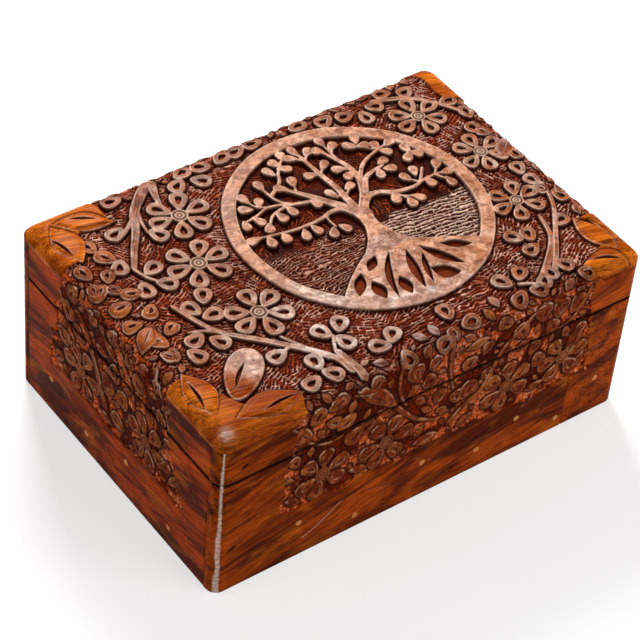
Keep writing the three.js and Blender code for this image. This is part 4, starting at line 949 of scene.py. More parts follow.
def find_fillers(settings):
    """Small leaves for the gaps: centres on a staggered and jittered grid, kept where the nearest shape,
    and the field's outline, leave room. Each is as large as its gap."""
    pitch, least_room, most_room = 4.6, 2.4, 5.0
    probe = Relief(np.zeros((0, 2)), settings)
    probe.carve()
    i, j = np.meshgrid(np.arange(-44, 45), np.arange(-40, 41), indexing="ij")
    i, j = i.ravel().astype(float), j.ravel().astype(float)
    spots = np.column_stack([(i + 0.5 * (j % 2)) * pitch, j * pitch])
    spots += 1.6 * np.column_stack([scatter(i, j, 81) - 0.5, scatter(i, j, 82) - 0.5])
    over = np.maximum(np.abs(spots[:, 0]) - FLAT_X, np.abs(spots[:, 1]) - FLAT_Y)
    # Only the rim and the walls take fillers
    room = np.where(over > -5, 9.0, 0.0)
    field, _, _ = outline_distance(spots, np.array(GROUND, float))
    room = np.minimum(room, -field + 0.5)
    for outline in probe.outlines:
        room = np.minimum(room, outline_distance(spots, outline)[0])
    chosen = []
    for k in np.argsort(-room):
        if room[k] < least_room:
            break
        size = min(room[k] - 0.2, most_room) * (0.72 + 0.28 * float(scatter(i[k], j[k], 84)))
        x, y = spots[k]
        apart = all((x - a) ** 2 + (y - b) ** 2 > (most_room * c + size) ** 2 for a, b, _, c in chosen)
        if apart and scatter(i[k], j[k], 85) > 0.15:
            heading = 360 * float(scatter(i[k], j[k], 83))
            chosen.append((float(x), float(y), heading, size / most_room))
    return chosen


def tints_of(relief):
    """The tints as one array, a column each."""
    return np.column_stack([np.clip(getattr(relief, name), 0, 1) for name in TINTS])


def relief_on(layout, settings, step, held):
    """Relief at layout points, with grid lines drawn on to the contours near them except where held, and
    the shift that this gives the points."""
    fillers = shared("fillers", lambda: find_fillers(settings))
    probe = Relief(layout, settings, fillers)
    probe.carve()
    shift = np.where(held, 0.0, probe.drawn(0.42 * step))
    relief = Relief(layout + shift, settings, fillers)
    relief.carve()
    return relief, shift


# Meshes

def ring_normal(points):
    """Normal of a closed ring of points: the sum of the cross products of its sides."""
    total = np.cross(points, np.roll(points, -1, axis=0)).sum(0)
    return total / (np.linalg.norm(total) + 1e-12)


def quad_normals(points, quads):
    """Unit normal of each four-sided face: the cross product of its diagonals."""
    n = np.cross(points[quads[:, 2]] - points[quads[:, 0]], points[quads[:, 3]] - points[quads[:, 1]])
    return n / (np.linalg.norm(n, axis=1)[:, None] + 1e-12)

def turned_ring(points, ring, way):
    """The ring, turned round where its normal points against the way that is wanted."""
    return ring if ring_normal(points[ring] - points[ring[0]]) @ way > 0 else ring[::-1]


def grid_quads(at):
    """Four-sided faces between the points of a grid of indices."""
    return np.stack([at[:-1, :-1], at[1:, :-1], at[1:, 1:], at[:-1, 1:]], 2).reshape(-1, 4)


def grid_normals(grid, outward):
    """Unit normals of a grid of points: the cross product of its two central differences."""
    n = np.cross(np.gradient(grid, axis=0), np.gradient(grid, axis=1))
    n /= np.linalg.norm(n, axis=2)[:, :, None] + 1e-12
    return n * np.sign((n * outward).sum(2))[:, :, None]


def build_piece(name, points, quads, rings, corner_normals, materials, body, stands_for,
                tints=None, quad_material=None, ring_material=0):
    """Makes a mesh object from points in millimetres, four-sided faces and closed rings."""
    mesh = bpy.data.meshes.new(name)
    mesh.vertices.add(len(points))
    mesh.vertices.foreach_set("co", (points * MM).astype(np.float32).ravel())
    sizes = [len(ring) for ring in rings]
    corners = np.concatenate([quads.ravel(), *rings]).astype(np.int32)
    starts = np.concatenate([np.arange(len(quads)) * 4, 4 * len(quads) + np.cumsum([0, *sizes])[:-1]])
    mesh.loops.add(len(corners))
    mesh.loops.foreach_set("vertex_index", corners)
    mesh.polygons.add(len(starts))
    mesh.polygons.foreach_set("loop_start", starts.astype(np.int32))
    if quad_material is not None:
        index = np.concatenate([quad_material, np.full(len(rings), ring_material)]).astype(np.int32)
        mesh.polygons.foreach_set("material_index", index)
    mesh.polygons.foreach_set("use_smooth", np.ones(len(starts), bool))
    mesh.update(calc_edges=True)
    if tints is not None:
        for column, tint in enumerate(TINTS):
            layer = mesh.attributes.new(tint, "FLOAT", "POINT")
            layer.data.foreach_set("value", tints[:, column].astype(np.float32))
    for material in materials:
        mesh.materials.append(material)
    if corner_normals is not None:
        mesh.normals_split_custom_set(corner_normals.astype(np.float32))
    piece = bpy.data.objects.new(name, mesh)
    bpy.context.scene.collection.objects.link(piece)
    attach(piece, body)
    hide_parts(*stands_for)
    return piece


def lid_grid(step):
    """Grid over the lid board: unfolded lines in both directions, wrapped over the pillow's arc and
    down to the board's foot. Ring by ring the corners are drawn round."""
    def lines(flat):
        inner = np.linspace(-flat, flat, 2 * round(flat / step) + 1)
        arc = np.linspace(0, PILLOW_L, round(PILLOW_L / step) + 1)[1:]
        drop = PILLOW_L + np.array([0.4, 1.0, 1.6, 2.0, PILLOW_FOOT - BOARD_Z])
        outer = flat + np.concatenate([arc, drop])
        return np.concatenate([-outer[::-1], inner, outer])

    u, v = np.meshgrid(lines(FLAT_X), lines(FLAT_Y), indexing="ij")
    au, av = np.abs(u), np.abs(v)
    over = np.maximum(au - FLAT_X, av - FLAT_Y)
    turn = np.clip(over, 0, PILLOW_L) / PILLOW_R
    out = np.where(over > 0, PILLOW_R * np.sin(turn), over)
    half_x, half_y = FLAT_X + out, FLAT_Y + out
    z = TOP_Z - PILLOW_R * (1 - np.cos(turn)) - np.maximum(over - PILLOW_L, 0)
    radius = np.maximum(CORNER_R * smooth(-22, 0, over), 1e-3)
    squeeze = np.where(over > 0, out / np.maximum(over, 1e-9), 1.0)
    on_x = au - FLAT_X >= av - FLAT_Y
    along = np.where(on_x, av, au)
    flat = np.where(on_x, FLAT_Y, FLAT_X)
    along = np.where(along > flat, flat + (along - flat) * squeeze, along)
    limit = np.where(on_x, half_y, half_x) - radius
    angle = np.clip((along - limit) / radius, 0, 1) * np.pi / 4
    reach = np.where(on_x, half_x, half_y)
    bent = along > limit
    far = np.where(bent, reach - radius + radius * np.cos(angle), reach)
    wide = np.where(bent, limit + radius * np.sin(angle), along)
    x, y = np.where(on_x, far, wide), np.where(on_x, wide, far)
    nx = np.where(on_x, np.cos(angle), np.sin(angle))
    ny = np.where(on_x, np.sin(angle), np.cos(angle))
    sx, sy = np.sign(u), np.sign(v)
    place = np.stack([x * sx, y * sy, z], 2)
    plan = np.stack([nx * sx, ny * sy], 2)
    stretch = np.where(over > 0, over - out, 0)
    unfolded = place[:, :, :2] + plan * stretch[:, :, None]
    side = np.where(over > PILLOW_L, np.pi / 2, turn)
    normal = np.dstack([plan * np.sin(side)[:, :, None], np.cos(side)])
    slope = np.dstack([plan * np.cos(side)[:, :, None], -np.sin(side)])
    return place, unfolded, plan, normal, slope, over


# Places of the finishes in the lid's and in a board's list of materials
LID_TOP, LID_GROUND, LID_PLAIN, LID_INSIDE = range(4)
BOARD_SKIN, BOARD_INSIDE, BOARD_GROUND = range(3)


def build_lid(settings, materials):
    """Carves the lid board as one grid and cuts it in four slabs that meet on the middle lines."""
    place, unfolded, plan, normal, slope, over = lid_grid(settings.mesh_step)
    shape = over.shape
    middle_x, middle_y = shape[0] // 2, shape[1] // 2
    held = np.repeat((over > PILLOW_L - 0.5)[:, :, None], 2, 2)
    held[middle_x, :, 0] = True
    held[:, middle_y, 1] = True
    points = unfolded.reshape(-1, 2)
    relief, shift = relief_on(points, settings, settings.mesh_step, held.reshape(-1, 2))
    # The front left corner is rubbed bare
    # A painted highlight at the front left corner of the lid's pillow, in the worn tint
    corner = np.hypot(points[:, 0] + FLAT_X + 2.5, points[:, 1] + FLAT_Y + 3.5)
    relief.worn = 0.85 * settings.corner_wear * bell(corner, 3.1) * (0.4 + 0.6 * cloud(points, 1.6, 97))
    flat_plan, past = plan.reshape(-1, 2), over.ravel()
    outward = (shift * flat_plan).sum(1)[:, None]
    level = np.zeros(len(shift))
    on_arc = slope.reshape(-1, 3) * outward + np.column_stack([shift - flat_plan * outward, level])
    moved = np.where((past <= 0)[:, None], np.column_stack([shift, level]), on_arc)
    foot = smooth(0.8, 0.0, PILLOW_L + PILLOW_FOOT - BOARD_Z - past)
    height = relief.height * (1 - foot) - settings.skin * smooth(0, 3, past)
    grid = (place.reshape(-1, 3) + moved + normal.reshape(-1, 3) * height[:, None]).reshape(*shape, 3)
    grid[0, :, 2] = grid[-1, :, 2] = BOARD_Z
    grid[:, 0, 2] = grid[:, -1, 2] = BOARD_Z
    normals = grid_normals(grid, normal)
    tints = tints_of(relief).reshape(*shape, len(TINTS))
    for front, rows in ((True, slice(0, middle_y + 1)), (False, slice(middle_y, shape[1]))):
        for left, columns in ((True, slice(0, middle_x + 1)), (False, slice(middle_x, shape[0]))):
            block = columns, rows
            build_slab(grid[block], normals[block], tints[block], left, front, materials)


def build_slab(block, normals, tints, left, front, materials):
    """One quarter of the lid: its part of the grid, the underside, and the two sides where it meets the
    others. These three are closed rings through the middle of the underside."""
    m, n = block.shape[:2]
    at = np.arange(m * n).reshape(m, n)
    hub = [m * n]
    quads = grid_quads(at)
    points = np.vstack([block.reshape(-1, 3), [[0, 0, BOARD_Z]]])
    outer_i, cut_i = (at[0], at[-1]) if left else (at[-1], at[0])
    outer_j, cut_j = (at[:, 0], at[:, -1]) if front else (at[:, -1], at[:, 0])
    walk_i = outer_i if front else outer_i[::-1]
    walk_j = outer_j[::-1] if left else outer_j
    rings = [np.concatenate(walk) for walk in ((walk_j, walk_i[1:], hub), (cut_i, hub), (cut_j, hub))]
    ways = [(0, 0, -1), (1 if left else -1, 0, 0), (0, 1 if front else -1, 0)]
    rings = [turned_ring(points, ring, way) for ring, way in zip(rings, ways)]
    flat_sides = [np.tile(way, (len(ring), 1)) for ring, way in zip(rings, ways)]
    corner_normals = np.vstack([normals.reshape(-1, 3)[quads.ravel()], *flat_sides])
    tints = np.vstack([tints.reshape(-1, len(TINTS)), np.zeros((1, len(TINTS)))])
    finish = np.where(tints[quads, CARVED].mean(1) < 0.5, LID_PLAIN, LID_TOP)
    finish = np.where(tints[quads, TOP].mean(1) < 0.5, LID_GROUND, finish)
    name = f"lid_carving_{'front' if front else 'back'}_{'left' if left else 'right'}"
    build_piece(name, points, quads, rings, corner_normals, materials, "lid", ["lid_top_board"],
                tints, finish, LID_INSIDE)


# Rows of a board: fine ones at both edges, even ones from the lowest carving up, wider ones below it
EDGE_ROWS = np.array([0.0, 0.12, 0.3, 0.55, 0.9])
EDGE_BAND = 1.3
CARVED_FROM = 33.0
COARSE = 1.3

# Hinge beds of the back boards, as on the solids: inset of the axis from the face, radius of the barrel's
# bed, depth of the leaf's bed, clearance beside the leaf, and the bevel outside the barrel with its lip
HINGE_INSET = 1.8
BARREL_BED = 2.15
LEAF_BED = 1.45
LEAF_GAP = 0.35
BEVEL = math.radians(51)
BEVEL_LIP = 0.3

# The edge of a hinge's bed is this wide, and the carving stops this far beside it
BED_STEP = 0.02
BED_MARGIN = 1.5


def stations_of(start, end, half, step):
    """Stations along a wall: even steps, and a quarter circle where the wall reaches the box's corner.
    Gives the place, the distance inwards, the outward direction and the length along the surface."""
    arc = np.linspace(np.pi / 2, 0, 25)[::-1][1:]
    low, high = start, end
    corners = []
    if start < -half + 0.5:
        low = -half + CORNER_R
        corners.append((low, -1))
    if end > half - 0.5:
        high = half - CORNER_R
        corners.append((high, 1))
    straight = np.linspace(low, high, max(2, round((high - low) / step)) + 1)
    parts = [(straight, 0 * straight, 0 * straight, straight)]
    for corner, way in corners:
        turned = arc[::way]
        place, length = corner + way * CORNER_R * np.sin(turned), corner + way * CORNER_R * turned
        part = place, CORNER_R * (1 - np.cos(turned)), way * turned, length
        parts.insert(0 if way < 0 else len(parts), part)
    return [np.concatenate(line) for line in zip(*parts)]


def rows_of(low, high, step):
    """Levels of the rows: fine at both edges, even in the carved band and wider apart below it."""
    first, last = low + EDGE_BAND, high - EDGE_BAND
    band = max(first, CARVED_FROM)
    above = np.linspace(band, last, max(2, round((last - band) / step)) + 1)
    below = np.linspace(first, band, max(1, round((band - first) / (COARSE * step))) + 1)[:-1]
    if band <= first:
        below = np.zeros(0)
    return np.concatenate([low + EDGE_ROWS, below, above, high - EDGE_ROWS[::-1]])


def hinge_profile(split, sign):
    """Edge of a back board at a hinge, from outside in: the bevel, the round bed of the barrel and the
    flat bed of the leaf. Without a hinge it is the bevel and the flat edge. Both have as many points."""
    axis_out, axis_z = HALF_D - HINGE_INSET, (BASE_TOP + RIM_FOOT) / 2
    angles = np.linspace(-BEVEL, -np.pi + math.asin(LEAF_BED / BARREL_BED), 7)
    arc_out, arc_z = axis_out + BARREL_BED * np.cos(angles), axis_z + sign * BARREL_BED * np.sin(angles)
    hinged = np.vstack([np.column_stack([arc_out, arc_z]), [[INNER_D, axis_z - sign * LEAF_BED]]])
    bevel = np.array([axis_out + abs(axis_z - split) / math.tan(BEVEL), split])
    plain = np.linspace(bevel, [INNER_D, split], 8)
    return plain, hinged


def hinge_spans():
    """Stretches of the back edge that the hinges' leaves take up, with their clearance."""
    boxes = [node_box(f"hinge_{side}_base_leaf") for side in ("left", "right")]
    return [(float(low[0]) - LEAF_GAP, float(high[0]) + LEAF_GAP) for low, high in boxes]


def with_spans(stations, spans):
    """The stations with close pairs at both ends of each span, in place of the nearest stations."""
    marks = np.array([v for low, high in spans for v in (low - BED_STEP, low, high, high + BED_STEP)])
    nearest = [int(np.abs(stations[0] - v).argmin()) for v in (*marks[1::4], *marks[2::4])]
    keep = np.ones(len(stations[0]), bool)
    keep[nearest] = False
    order = np.argsort(np.concatenate([stations[0][keep], marks]))
    extras = (marks, 0 * marks, 0 * marks, marks)
    return [np.concatenate([line[keep], extra])[order] for line, extra in zip(stations, extras)]


class Wall:
    """How a wall lies in the world and in the unfolded layout. A place on it is given along it, outwards
    from the middle of the box, and upwards."""

    def __init__(self, side):
        self.long = side in ("front", "back")
        self.sign = -1 if side in ("front", "left") else 1
        self.half, self.face = (HALF_W, HALF_D) if self.long else (HALF_D, HALF_W)
        self.inner, self.foot = (INNER_D, LONG_FOOT) if self.long else (INNER_W, SIDE_FOOT)

    def ordered(self, along, across):
        """The two level numbers of a point in the order x and y."""
        return (along, across) if self.long else (across, along)

    def to_world(self, along, out, z):
        """World points of places."""
        return np.stack([*self.ordered(along, self.sign * out), z], -1)

    def to_layout(self, along, z):
        """Layout points of places on the outer face."""
        return np.stack(self.ordered(along, -self.sign * (z - self.foot)), -1)

    def steps_of(self, shift):
        """Steps along the wall and upwards that shifts in the layout stand for."""
        along, across = self.ordered(shift[:, :, 0], shift[:, :, 1])
        return along, -self.sign * across


class Board:
    """One board of a wall: a closed section of outer face, split edge, inner face and far edge, carried
    along the wall. The outer face carries the relief, and a back board has the beds of the hinges."""

    def __init__(self, node, side, start, end, settings):
        self.node, self.side, self.start, self.settings = node, side, start, settings
        self.body = "lid" if node.startswith("lid_") else "base"
        self.on_base = self.body == "base"
        self.wall = Wall(side)
        self.step = settings.wall_step if side in ("front", "left") else settings.plain_step
        self.spans = hinge_spans() if side == "back" else []
        stations = stations_of(start, end, self.wall.half, self.step)
        if self.spans:
            stations = with_spans(stations, self.spans)
        self.along, self.inward, self.lean, self.length = stations
        self.z = self.rows()
        self.shape = len(self.along), len(self.z)
        self.from_split, self.from_far = np.abs(self.z - self.z[-1]), np.abs(self.z - self.z[0])

    def rows(self):
        """Levels of the rows, from the far edge to the split or, on a back board, to its bevel."""
        low, high = (0.0, BASE_TOP) if self.on_base else (RIM_FOOT, BOARD_Z)
        if self.spans:
            bevel = math.tan(BEVEL) * HINGE_INSET - BEVEL_LIP
            low, high = (low, high - bevel) if self.on_base else (low + bevel, high)
        z = rows_of(low, high, self.step)
        return z if self.on_base else z[::-1]

    def spread(self, values):
        """One number for each station, the same in all rows."""
        return np.broadcast_to(values[:, None], self.shape)

    def levels(self):
        """The level of each point of the outer face."""
        return np.broadcast_to(self.z[None], self.shape)

    def held(self):
        """Points that aren't drawn on to contours: near the edges and hinges, and round the corners."""
        held = np.ones(self.shape, bool)
        held[3:-3, 6:-6] = False
        held |= self.spread(np.abs(self.lean) > 0)
        for low, high in self.spans:
            held |= self.spread((self.along > low - BED_MARGIN) & (self.along < high + BED_MARGIN))
        return held.reshape(-1, 1)

    def outer_face(self):
        """Points of the outer face, directions outwards and the relief. Relief, eased edges and skin are
        taken off along the outward direction."""
        layout = self.wall.to_layout(self.spread(self.length), self.levels()).reshape(-1, 2)
        relief, shift = relief_on(layout, self.settings, self.step, self.held())
        step_along, step_up = self.wall.steps_of(shift.reshape(*self.shape, 2))
        rounding = 0.3 if self.spans else 0.9
        ease = eased(self.from_split, rounding, rounding)
        if self.on_base:
            ease += eased(self.from_far, 0.6, 0.45)
        ends = np.minimum(np.abs(self.along - self.along[0]), np.abs(self.along - self.along[-1]))
        end_ease = eased(ends, 0.5, 0.3) * (np.abs(self.lean) < 0.01)
        depth = -relief.height.reshape(self.shape) + ease[None] + end_ease[:, None] + self.settings.skin
        depth = np.minimum(depth, 6.0)
        sine, cosine = self.spread(np.sin(self.lean)), self.spread(np.cos(self.lean))
        out = self.wall.face - self.spread(self.inward) - depth * cosine
        along = self.spread(self.along) + step_along - depth * sine
        points = self.wall.to_world(along, out, self.levels() + step_up)
        return points, self.wall.to_world(sine, cosine, np.zeros(self.shape)), relief

    def other_faces(self):
        """The rest of the section: the split edge, with its bevel and beds on a back board, the inner face
        and the far edge."""
        n, inner = len(self.along), self.wall.inner
        split = BASE_TOP if self.on_base else RIM_FOOT
        edge_out, edge_z = np.full((n, 1), inner), np.full((n, 1), split)
        if self.spans:
            plain, hinged = hinge_profile(split, 1 if self.on_base else -1)
            in_bed = np.zeros(n, bool)
            for low, high in self.spans:
                in_bed |= (self.along > low - BED_STEP / 2) & (self.along < high + BED_STEP / 2)
            profile = np.where(in_bed[:, None, None], hinged[None], plain[None])
            surface = (self.wall.face - self.inward - self.settings.skin)[:, None]
            edge_out, edge_z = np.minimum(profile[:, :, 0], surface), profile[:, :, 1]
        out = np.column_stack([edge_out, np.full(n, inner)])
        z = np.column_stack([edge_z, np.full(n, self.z[0])])
        along = self.along - self.settings.skin * np.sin(self.lean)
        return self.wall.to_world(np.broadcast_to(along[:, None], out.shape), out, z)

    def corner_wear(self):
        """Wood laid bare on the upright corners: a band round a wandering middle, as wide as the level and
        a slow noise say, and strongest at the front left."""
        spots = np.stack([np.full(len(self.z), 3.0 + self.start), self.z], 1)
        slow, quick = cloud(spots, 9.0, 71), cloud(spots, 1.8, 72)
        middle = (0.55 + 0.14 * slow + 0.06 * quick)[None]
        width = (0.05 + 0.12 * slow + 0.16 * np.clip(1 - self.z / 70, 0, 1))[None]
        strength = np.where((self.lean < 0) & (self.side == "front"), 1.0, 0.25)[:, None]
        spots = np.stack([8 * self.spread(self.lean), self.levels()], 2).reshape(-1, 2)
        speck = cloud(spots, 0.9, 73).reshape(self.shape)
        band = smooth(1.25, 0.55, np.abs(np.abs(self.lean)[:, None] - middle) / width)
        return strength * band * (0.6 + 0.4 * speck) * self.settings.corner_wear

    def tints(self, relief, size):
        """Tints of all points of the section: those of the relief, with painted shade along the split edge
        and, on a base board, along its foot, wear on the corners, and uncut wood on the other faces."""
        n, m = self.shape
        tints = np.zeros((n, size, len(TINTS)))
        tints[:, :m] = tints_of(relief).reshape(n, m, -1)
        tints[:, m:, TOP] = 1
        # Painted shade along the split and, on a base board, along the foot
        painted_edge_shade = bell(self.from_split, 1.0)
        if self.on_base:
            painted_edge_shade = painted_edge_shade + 0.7 * np.exp(-self.from_far / 1.1)
        tints[:, :m, SHADE] = np.maximum(tints[:, :m, SHADE], painted_edge_shade[None])
        tints[:, :m, WORN] = self.corner_wear()
        return tints.reshape(-1, len(TINTS))

    def build(self, materials):
        """Joins the sections by four-sided faces and closes both ends with a ring."""
        n, m = self.shape
        outer, outward, relief = self.outer_face()
        section = np.concatenate([outer, self.other_faces()], 1)
        size = section.shape[1]
        at = np.arange(n * size).reshape(n, size)
        beside = np.roll(at, -1, axis=1)
        quads = np.stack([at[:-1], at[1:], beside[1:], beside[:-1]], 2).reshape(-1, 4)
        points = section.reshape(-1, 3)
        probe = quads[(n // 2) * size + m // 2]
        if quad_normals(points, probe[None])[0] @ outward[n // 2, m // 2] < 0:
            quads = quads[:, ::-1]
        column = np.tile(np.arange(size), n - 1)
        on_outer = np.repeat(column < m - 1, 4)
        normals = np.zeros((n, size, 3))
        normals[:, :m] = grid_normals(outer, outward)
        corner_normals = np.repeat(quad_normals(points, quads), 4, axis=0)
        corner_normals[on_outer] = normals.reshape(-1, 3)[quads.ravel()[on_outer]]
        way = self.wall.to_world(np.array(1.0), np.array(0.0), np.array(0.0))
        rings = [turned_ring(points, at[0], -way), turned_ring(points, at[-1], way)]
        ends = [np.tile(-way, (size, 1)), np.tile(way, (size, 1))]
        tints = self.tints(relief, size)
        sunk = tints[quads, TOP].mean(1) < 0.5
        finish = np.where(column >= m - 1, BOARD_INSIDE, np.where(sunk, BOARD_GROUND, BOARD_SKIN))
        build_piece(f"{self.node}_carved", points, quads, rings, np.vstack([corner_normals, *ends]),
                    materials, self.body, [self.node], tints, finish)


# Materials

def linear(color):
    """Display colour to the light it stands for: the standard curve, with its straight foot."""
    c = np.array(color[:3], float)
    c = np.where(c <= 0.04045, c / 12.92, ((c + 0.055) / 1.055) ** 2.4)
    return (*c, 1.0)


def hexed(text):
    """Six hexadecimal digits as three numbers from 0 to 1."""
    return tuple(int(text[i:i + 2], 16) / 255 for i in (0, 2, 4))


class Recipe:
    """Builds the nodes of one material."""

    def __init__(self, name):
        self.material = bpy.data.materials.new(name)
        self.material.use_nodes = True
        self.tree = self.material.node_tree
        self.tree.nodes.clear()
        self.output = self.add("ShaderNodeOutputMaterial")
        self.shader = self.add("ShaderNodeBsdfPrincipled")
        self.link(self.shader.outputs[0], self.output.inputs[0])
        self.coordinates = self.add("ShaderNodeTexCoord")

    def add(self, kind, **values):
        """Adds a node and sets its properties."""
        node = self.tree.nodes.new(kind)
        for key, value in values.items():
            setattr(node, key, value)
        return node

    def link(self, start, end):
        """Joins an output to an input."""
        self.tree.links.new(start, end)

    def tint(self, name):
        """Factor from one of the piece's own attributes."""
        return self.add("ShaderNodeAttribute", attribute_name=name).outputs["Fac"]

    def noise(self, sizes, turn=(0, 0, 0), detail=3.0, distortion=0.0, rough=0.5):
        """Noise on object coordinates, with the size of its blobs along each axis in metres."""
        mapping = self.add("ShaderNodeMapping", vector_type="POINT")
        mapping.inputs["Rotation"].default_value = [math.radians(v) for v in turn]
        scaling = self.add("ShaderNodeMapping", vector_type="POINT")
        scaling.inputs["Scale"].default_value = [1 / v for v in sizes]
        texture = self.add("ShaderNodeTexNoise")
        texture.inputs["Scale"].default_value = 1.0
        texture.inputs["Detail"].default_value = detail
        texture.inputs["Roughness"].default_value = rough
        texture.inputs["Distortion"].default_value = distortion
        self.link(self.coordinates.outputs["Object"], mapping.inputs["Vector"])
        self.link(mapping.outputs[0], scaling.inputs["Vector"])
        self.link(scaling.outputs[0], texture.inputs["Vector"])
        return texture.outputs["Fac"]

    def between(self, value, low, high, start=0.0, end=1.0):
        """Value brought from the range low to high on to the range start to end."""
        node = self.add("ShaderNodeMapRange", interpolation_type="SMOOTHSTEP")
        for key, number in (("From Min", low), ("From Max", high), ("To Min", start), ("To Max", end)):
            node.inputs[key].default_value = number
        self.link(value, node.inputs["Value"])
        return node.outputs[0]

    def math(self, operation, first, second):
        """One arithmetic step on two sockets or numbers."""
        node = self.add("ShaderNodeMath", operation=operation)
        for i, value in enumerate((first, second)):
            if isinstance(value, (int, float)):
                node.inputs[i].default_value = value
            else:
                self.link(value, node.inputs[i])
        return node.outputs[0]

    def blend(self, factor, first, second, mode="MIX"):
        """Mixes two colours by a factor."""
        node = self.add("ShaderNodeMix", data_type="RGBA", blend_type=mode)
        for socket, value in ((node.inputs[0], factor), (node.inputs[6], first), (node.inputs[7], second)):
            if isinstance(value, (int, float)):
                socket.default_value = value
            elif isinstance(value, tuple):
                socket.default_value = value
            else:
                self.link(value, socket)
        return node.outputs[2]

    def bump(self, height, distance, strength=1.0):
        """Bump from a height socket, as deep as distance in metres."""
        node = self.add("ShaderNodeBump")
        node.inputs["Distance"].default_value = distance
        node.inputs["Strength"].default_value = strength
        self.link(height, node.inputs["Height"])
        self.link(node.outputs[0], self.shader.inputs["Normal"])


def grain_sizes(axis, along, across):
    """Blob sizes for a grain that runs along one axis."""
    return tuple(along if i == axis else across for i in range(3))


def carved_color(r, plain, mottle, s, rubbed):
    """Colour of a carved face, which its tints choose between polished tops with painted sheen, dark ground,
    fresh cuts, painted edge highlights, painted shade and worn corners, and how strongly the fibre shows on
    it."""
    top, zone, pale = r.between(r.tint("top"), 0.45, 0.95), r.tint("carved"), r.tint("pale")
    tops = r.blend(r.between(pale, 0.0, 0.62), linear(s.side_top), linear(s.border_top))
    tops = r.blend(r.between(pale, 0.62, 1.0), tops, linear(s.medallion_top))
    warm = r.math("MULTIPLY", r.between(mottle, 0.42, 0.58), r.between(pale, 0.5, 1.0, 0.95, 0.6))
    tops = r.blend(warm, tops, linear(s.warm_top))
    # Painted sheen on the tops, less where the mottle is high
    polish = r.math("MULTIPLY", r.tint("sheen"), r.between(mottle, 0.3, 0.6, 1.0, 0.3))
    tops = r.blend(polish, tops, linear(s.polish))
    blotch = r.between(r.noise((0.0045, 0.0045, 0.0045), (0, 0, 0), 4.0, 0.6, 0.6), 0.36, 0.64)
    tops = r.blend(0.9, tops, r.blend(blotch, (0.52, 0.43, 0.39, 1), (1.24, 1.24, 1.24, 1)), "MULTIPLY")
    pits = r.between(r.noise((0.0012, 0.0012, 0.0012), (0, 0, 0), 1.0, 0.3), 0.66, 0.74, 0.0, 0.6)
    tops = r.blend(pits, tops, linear(s.streak))
    ground = r.blend(r.between(mottle, 0.35, 0.65), linear(s.ground), linear(s.ground_deep))
    ground = r.blend(r.tint("fresh"), ground, linear(s.fresh_cut))
    color = r.blend(top, ground, r.blend(zone, plain, tops))
    # Painted edge highlights, painted shade, and worn corners with the painted highlight at the lid's corner
    for tint, tone in (("edge", rubbed), ("shade", s.painted_shade), ("worn", s.bare_wood_and_highlight)):
        color = r.blend(r.tint(tint), color, linear(tone))
    return color, r.between(r.math("MULTIPLY", zone, top), 0.0, 1.0, 0.7, 0.25)


def wood(name, s, axis, turn, light, deep, streak, rubbed=None, roughness=0.3, gloss=0.25):
    """Oiled hardwood: broad light and deep zones, golden patches, dark streaks and lines, and fine fibre
    along the grain. A carved piece gives the colour of its painted edge highlights, and its tints are
    followed."""
    r = Recipe(name)

    def grain(along, across, detail, distortion, rough=0.5):
        return r.noise(grain_sizes(axis, along, across), turn, detail, distortion, rough)

    fibre, fine = grain(0.03, 0.0008, 4.0, 0.5, 0.6), grain(0.004, 0.0009, 3.0, 0.2)
    mottle = r.noise((0.012, 0.012, 0.012), (0, 0, 0), 5.0, 0.8, 0.6)
    broad = r.between(grain(0.075, 0.02, 3.0, 1.1), 0.38, 0.62)
    swirl = r.between(grain(0.04, 0.016, 3.0, 1.6), 0.52, 0.72, 0.0, 0.55)
    figure = r.between(grain(0.26, 0.0075, 6.0, 0.7, 0.66), 0.5, 0.7, 0.0, 0.8)
    lines = r.between(grain(0.09, 0.0024, 5.0, 0.9, 0.7), 0.52, 0.68, 0.0, 0.7)
    color = r.blend(broad, linear(deep), linear(light))
    for share, tone in ((swirl, s.golden), (figure, streak), (lines, streak)):
        color = r.blend(share, color, linear(tone))
    fibre_share = 0.6
    if rubbed is not None:
        color, fibre_share = carved_color(r, color, mottle, s, rubbed)
    fibre_shade = r.blend(r.between(fibre, 0.3, 0.7), (0.36, 0.3, 0.26, 1), (1.4, 1.38, 1.36, 1))
    color = r.blend(fibre_share, color, fibre_shade, "MULTIPLY")
    r.link(color, r.shader.inputs["Base Color"])
    r.link(r.between(mottle, 0.3, 0.7, roughness + 0.06, roughness - 0.05), r.shader.inputs["Roughness"])
    r.shader.inputs["Specular IOR Level"].default_value = gloss
    r.bump(r.math("ADD", r.math("MULTIPLY", fibre, 0.5), fine), 0.00012, 0.7)
    return r.material


def peg_wood(settings):
    """Pale end grain: round speckle with darker pores."""
    r = Recipe("peg_end_grain")
    speckle = r.noise((0.0006, 0.0006, 0.0006), (0, 0, 0), 3.0, 0.5)
    broad = r.noise((0.004, 0.004, 0.004), (0, 0, 0), 2.0, 0.0)
    color = r.blend(r.between(speckle, 0.35, 0.7), linear(settings.peg), linear(settings.peg_pore))
    color = r.blend(r.between(broad, 0.4, 0.7, 0.0, 0.5), color, linear(settings.peg_pale))
    r.shader.inputs["Specular IOR Level"].default_value = 0.05
    r.link(color, r.shader.inputs["Base Color"])
    r.link(r.between(speckle, 0.3, 0.7, 0.45, 0.65), r.shader.inputs["Roughness"])
    r.bump(speckle, 0.0001, 0.7)
    return r.material


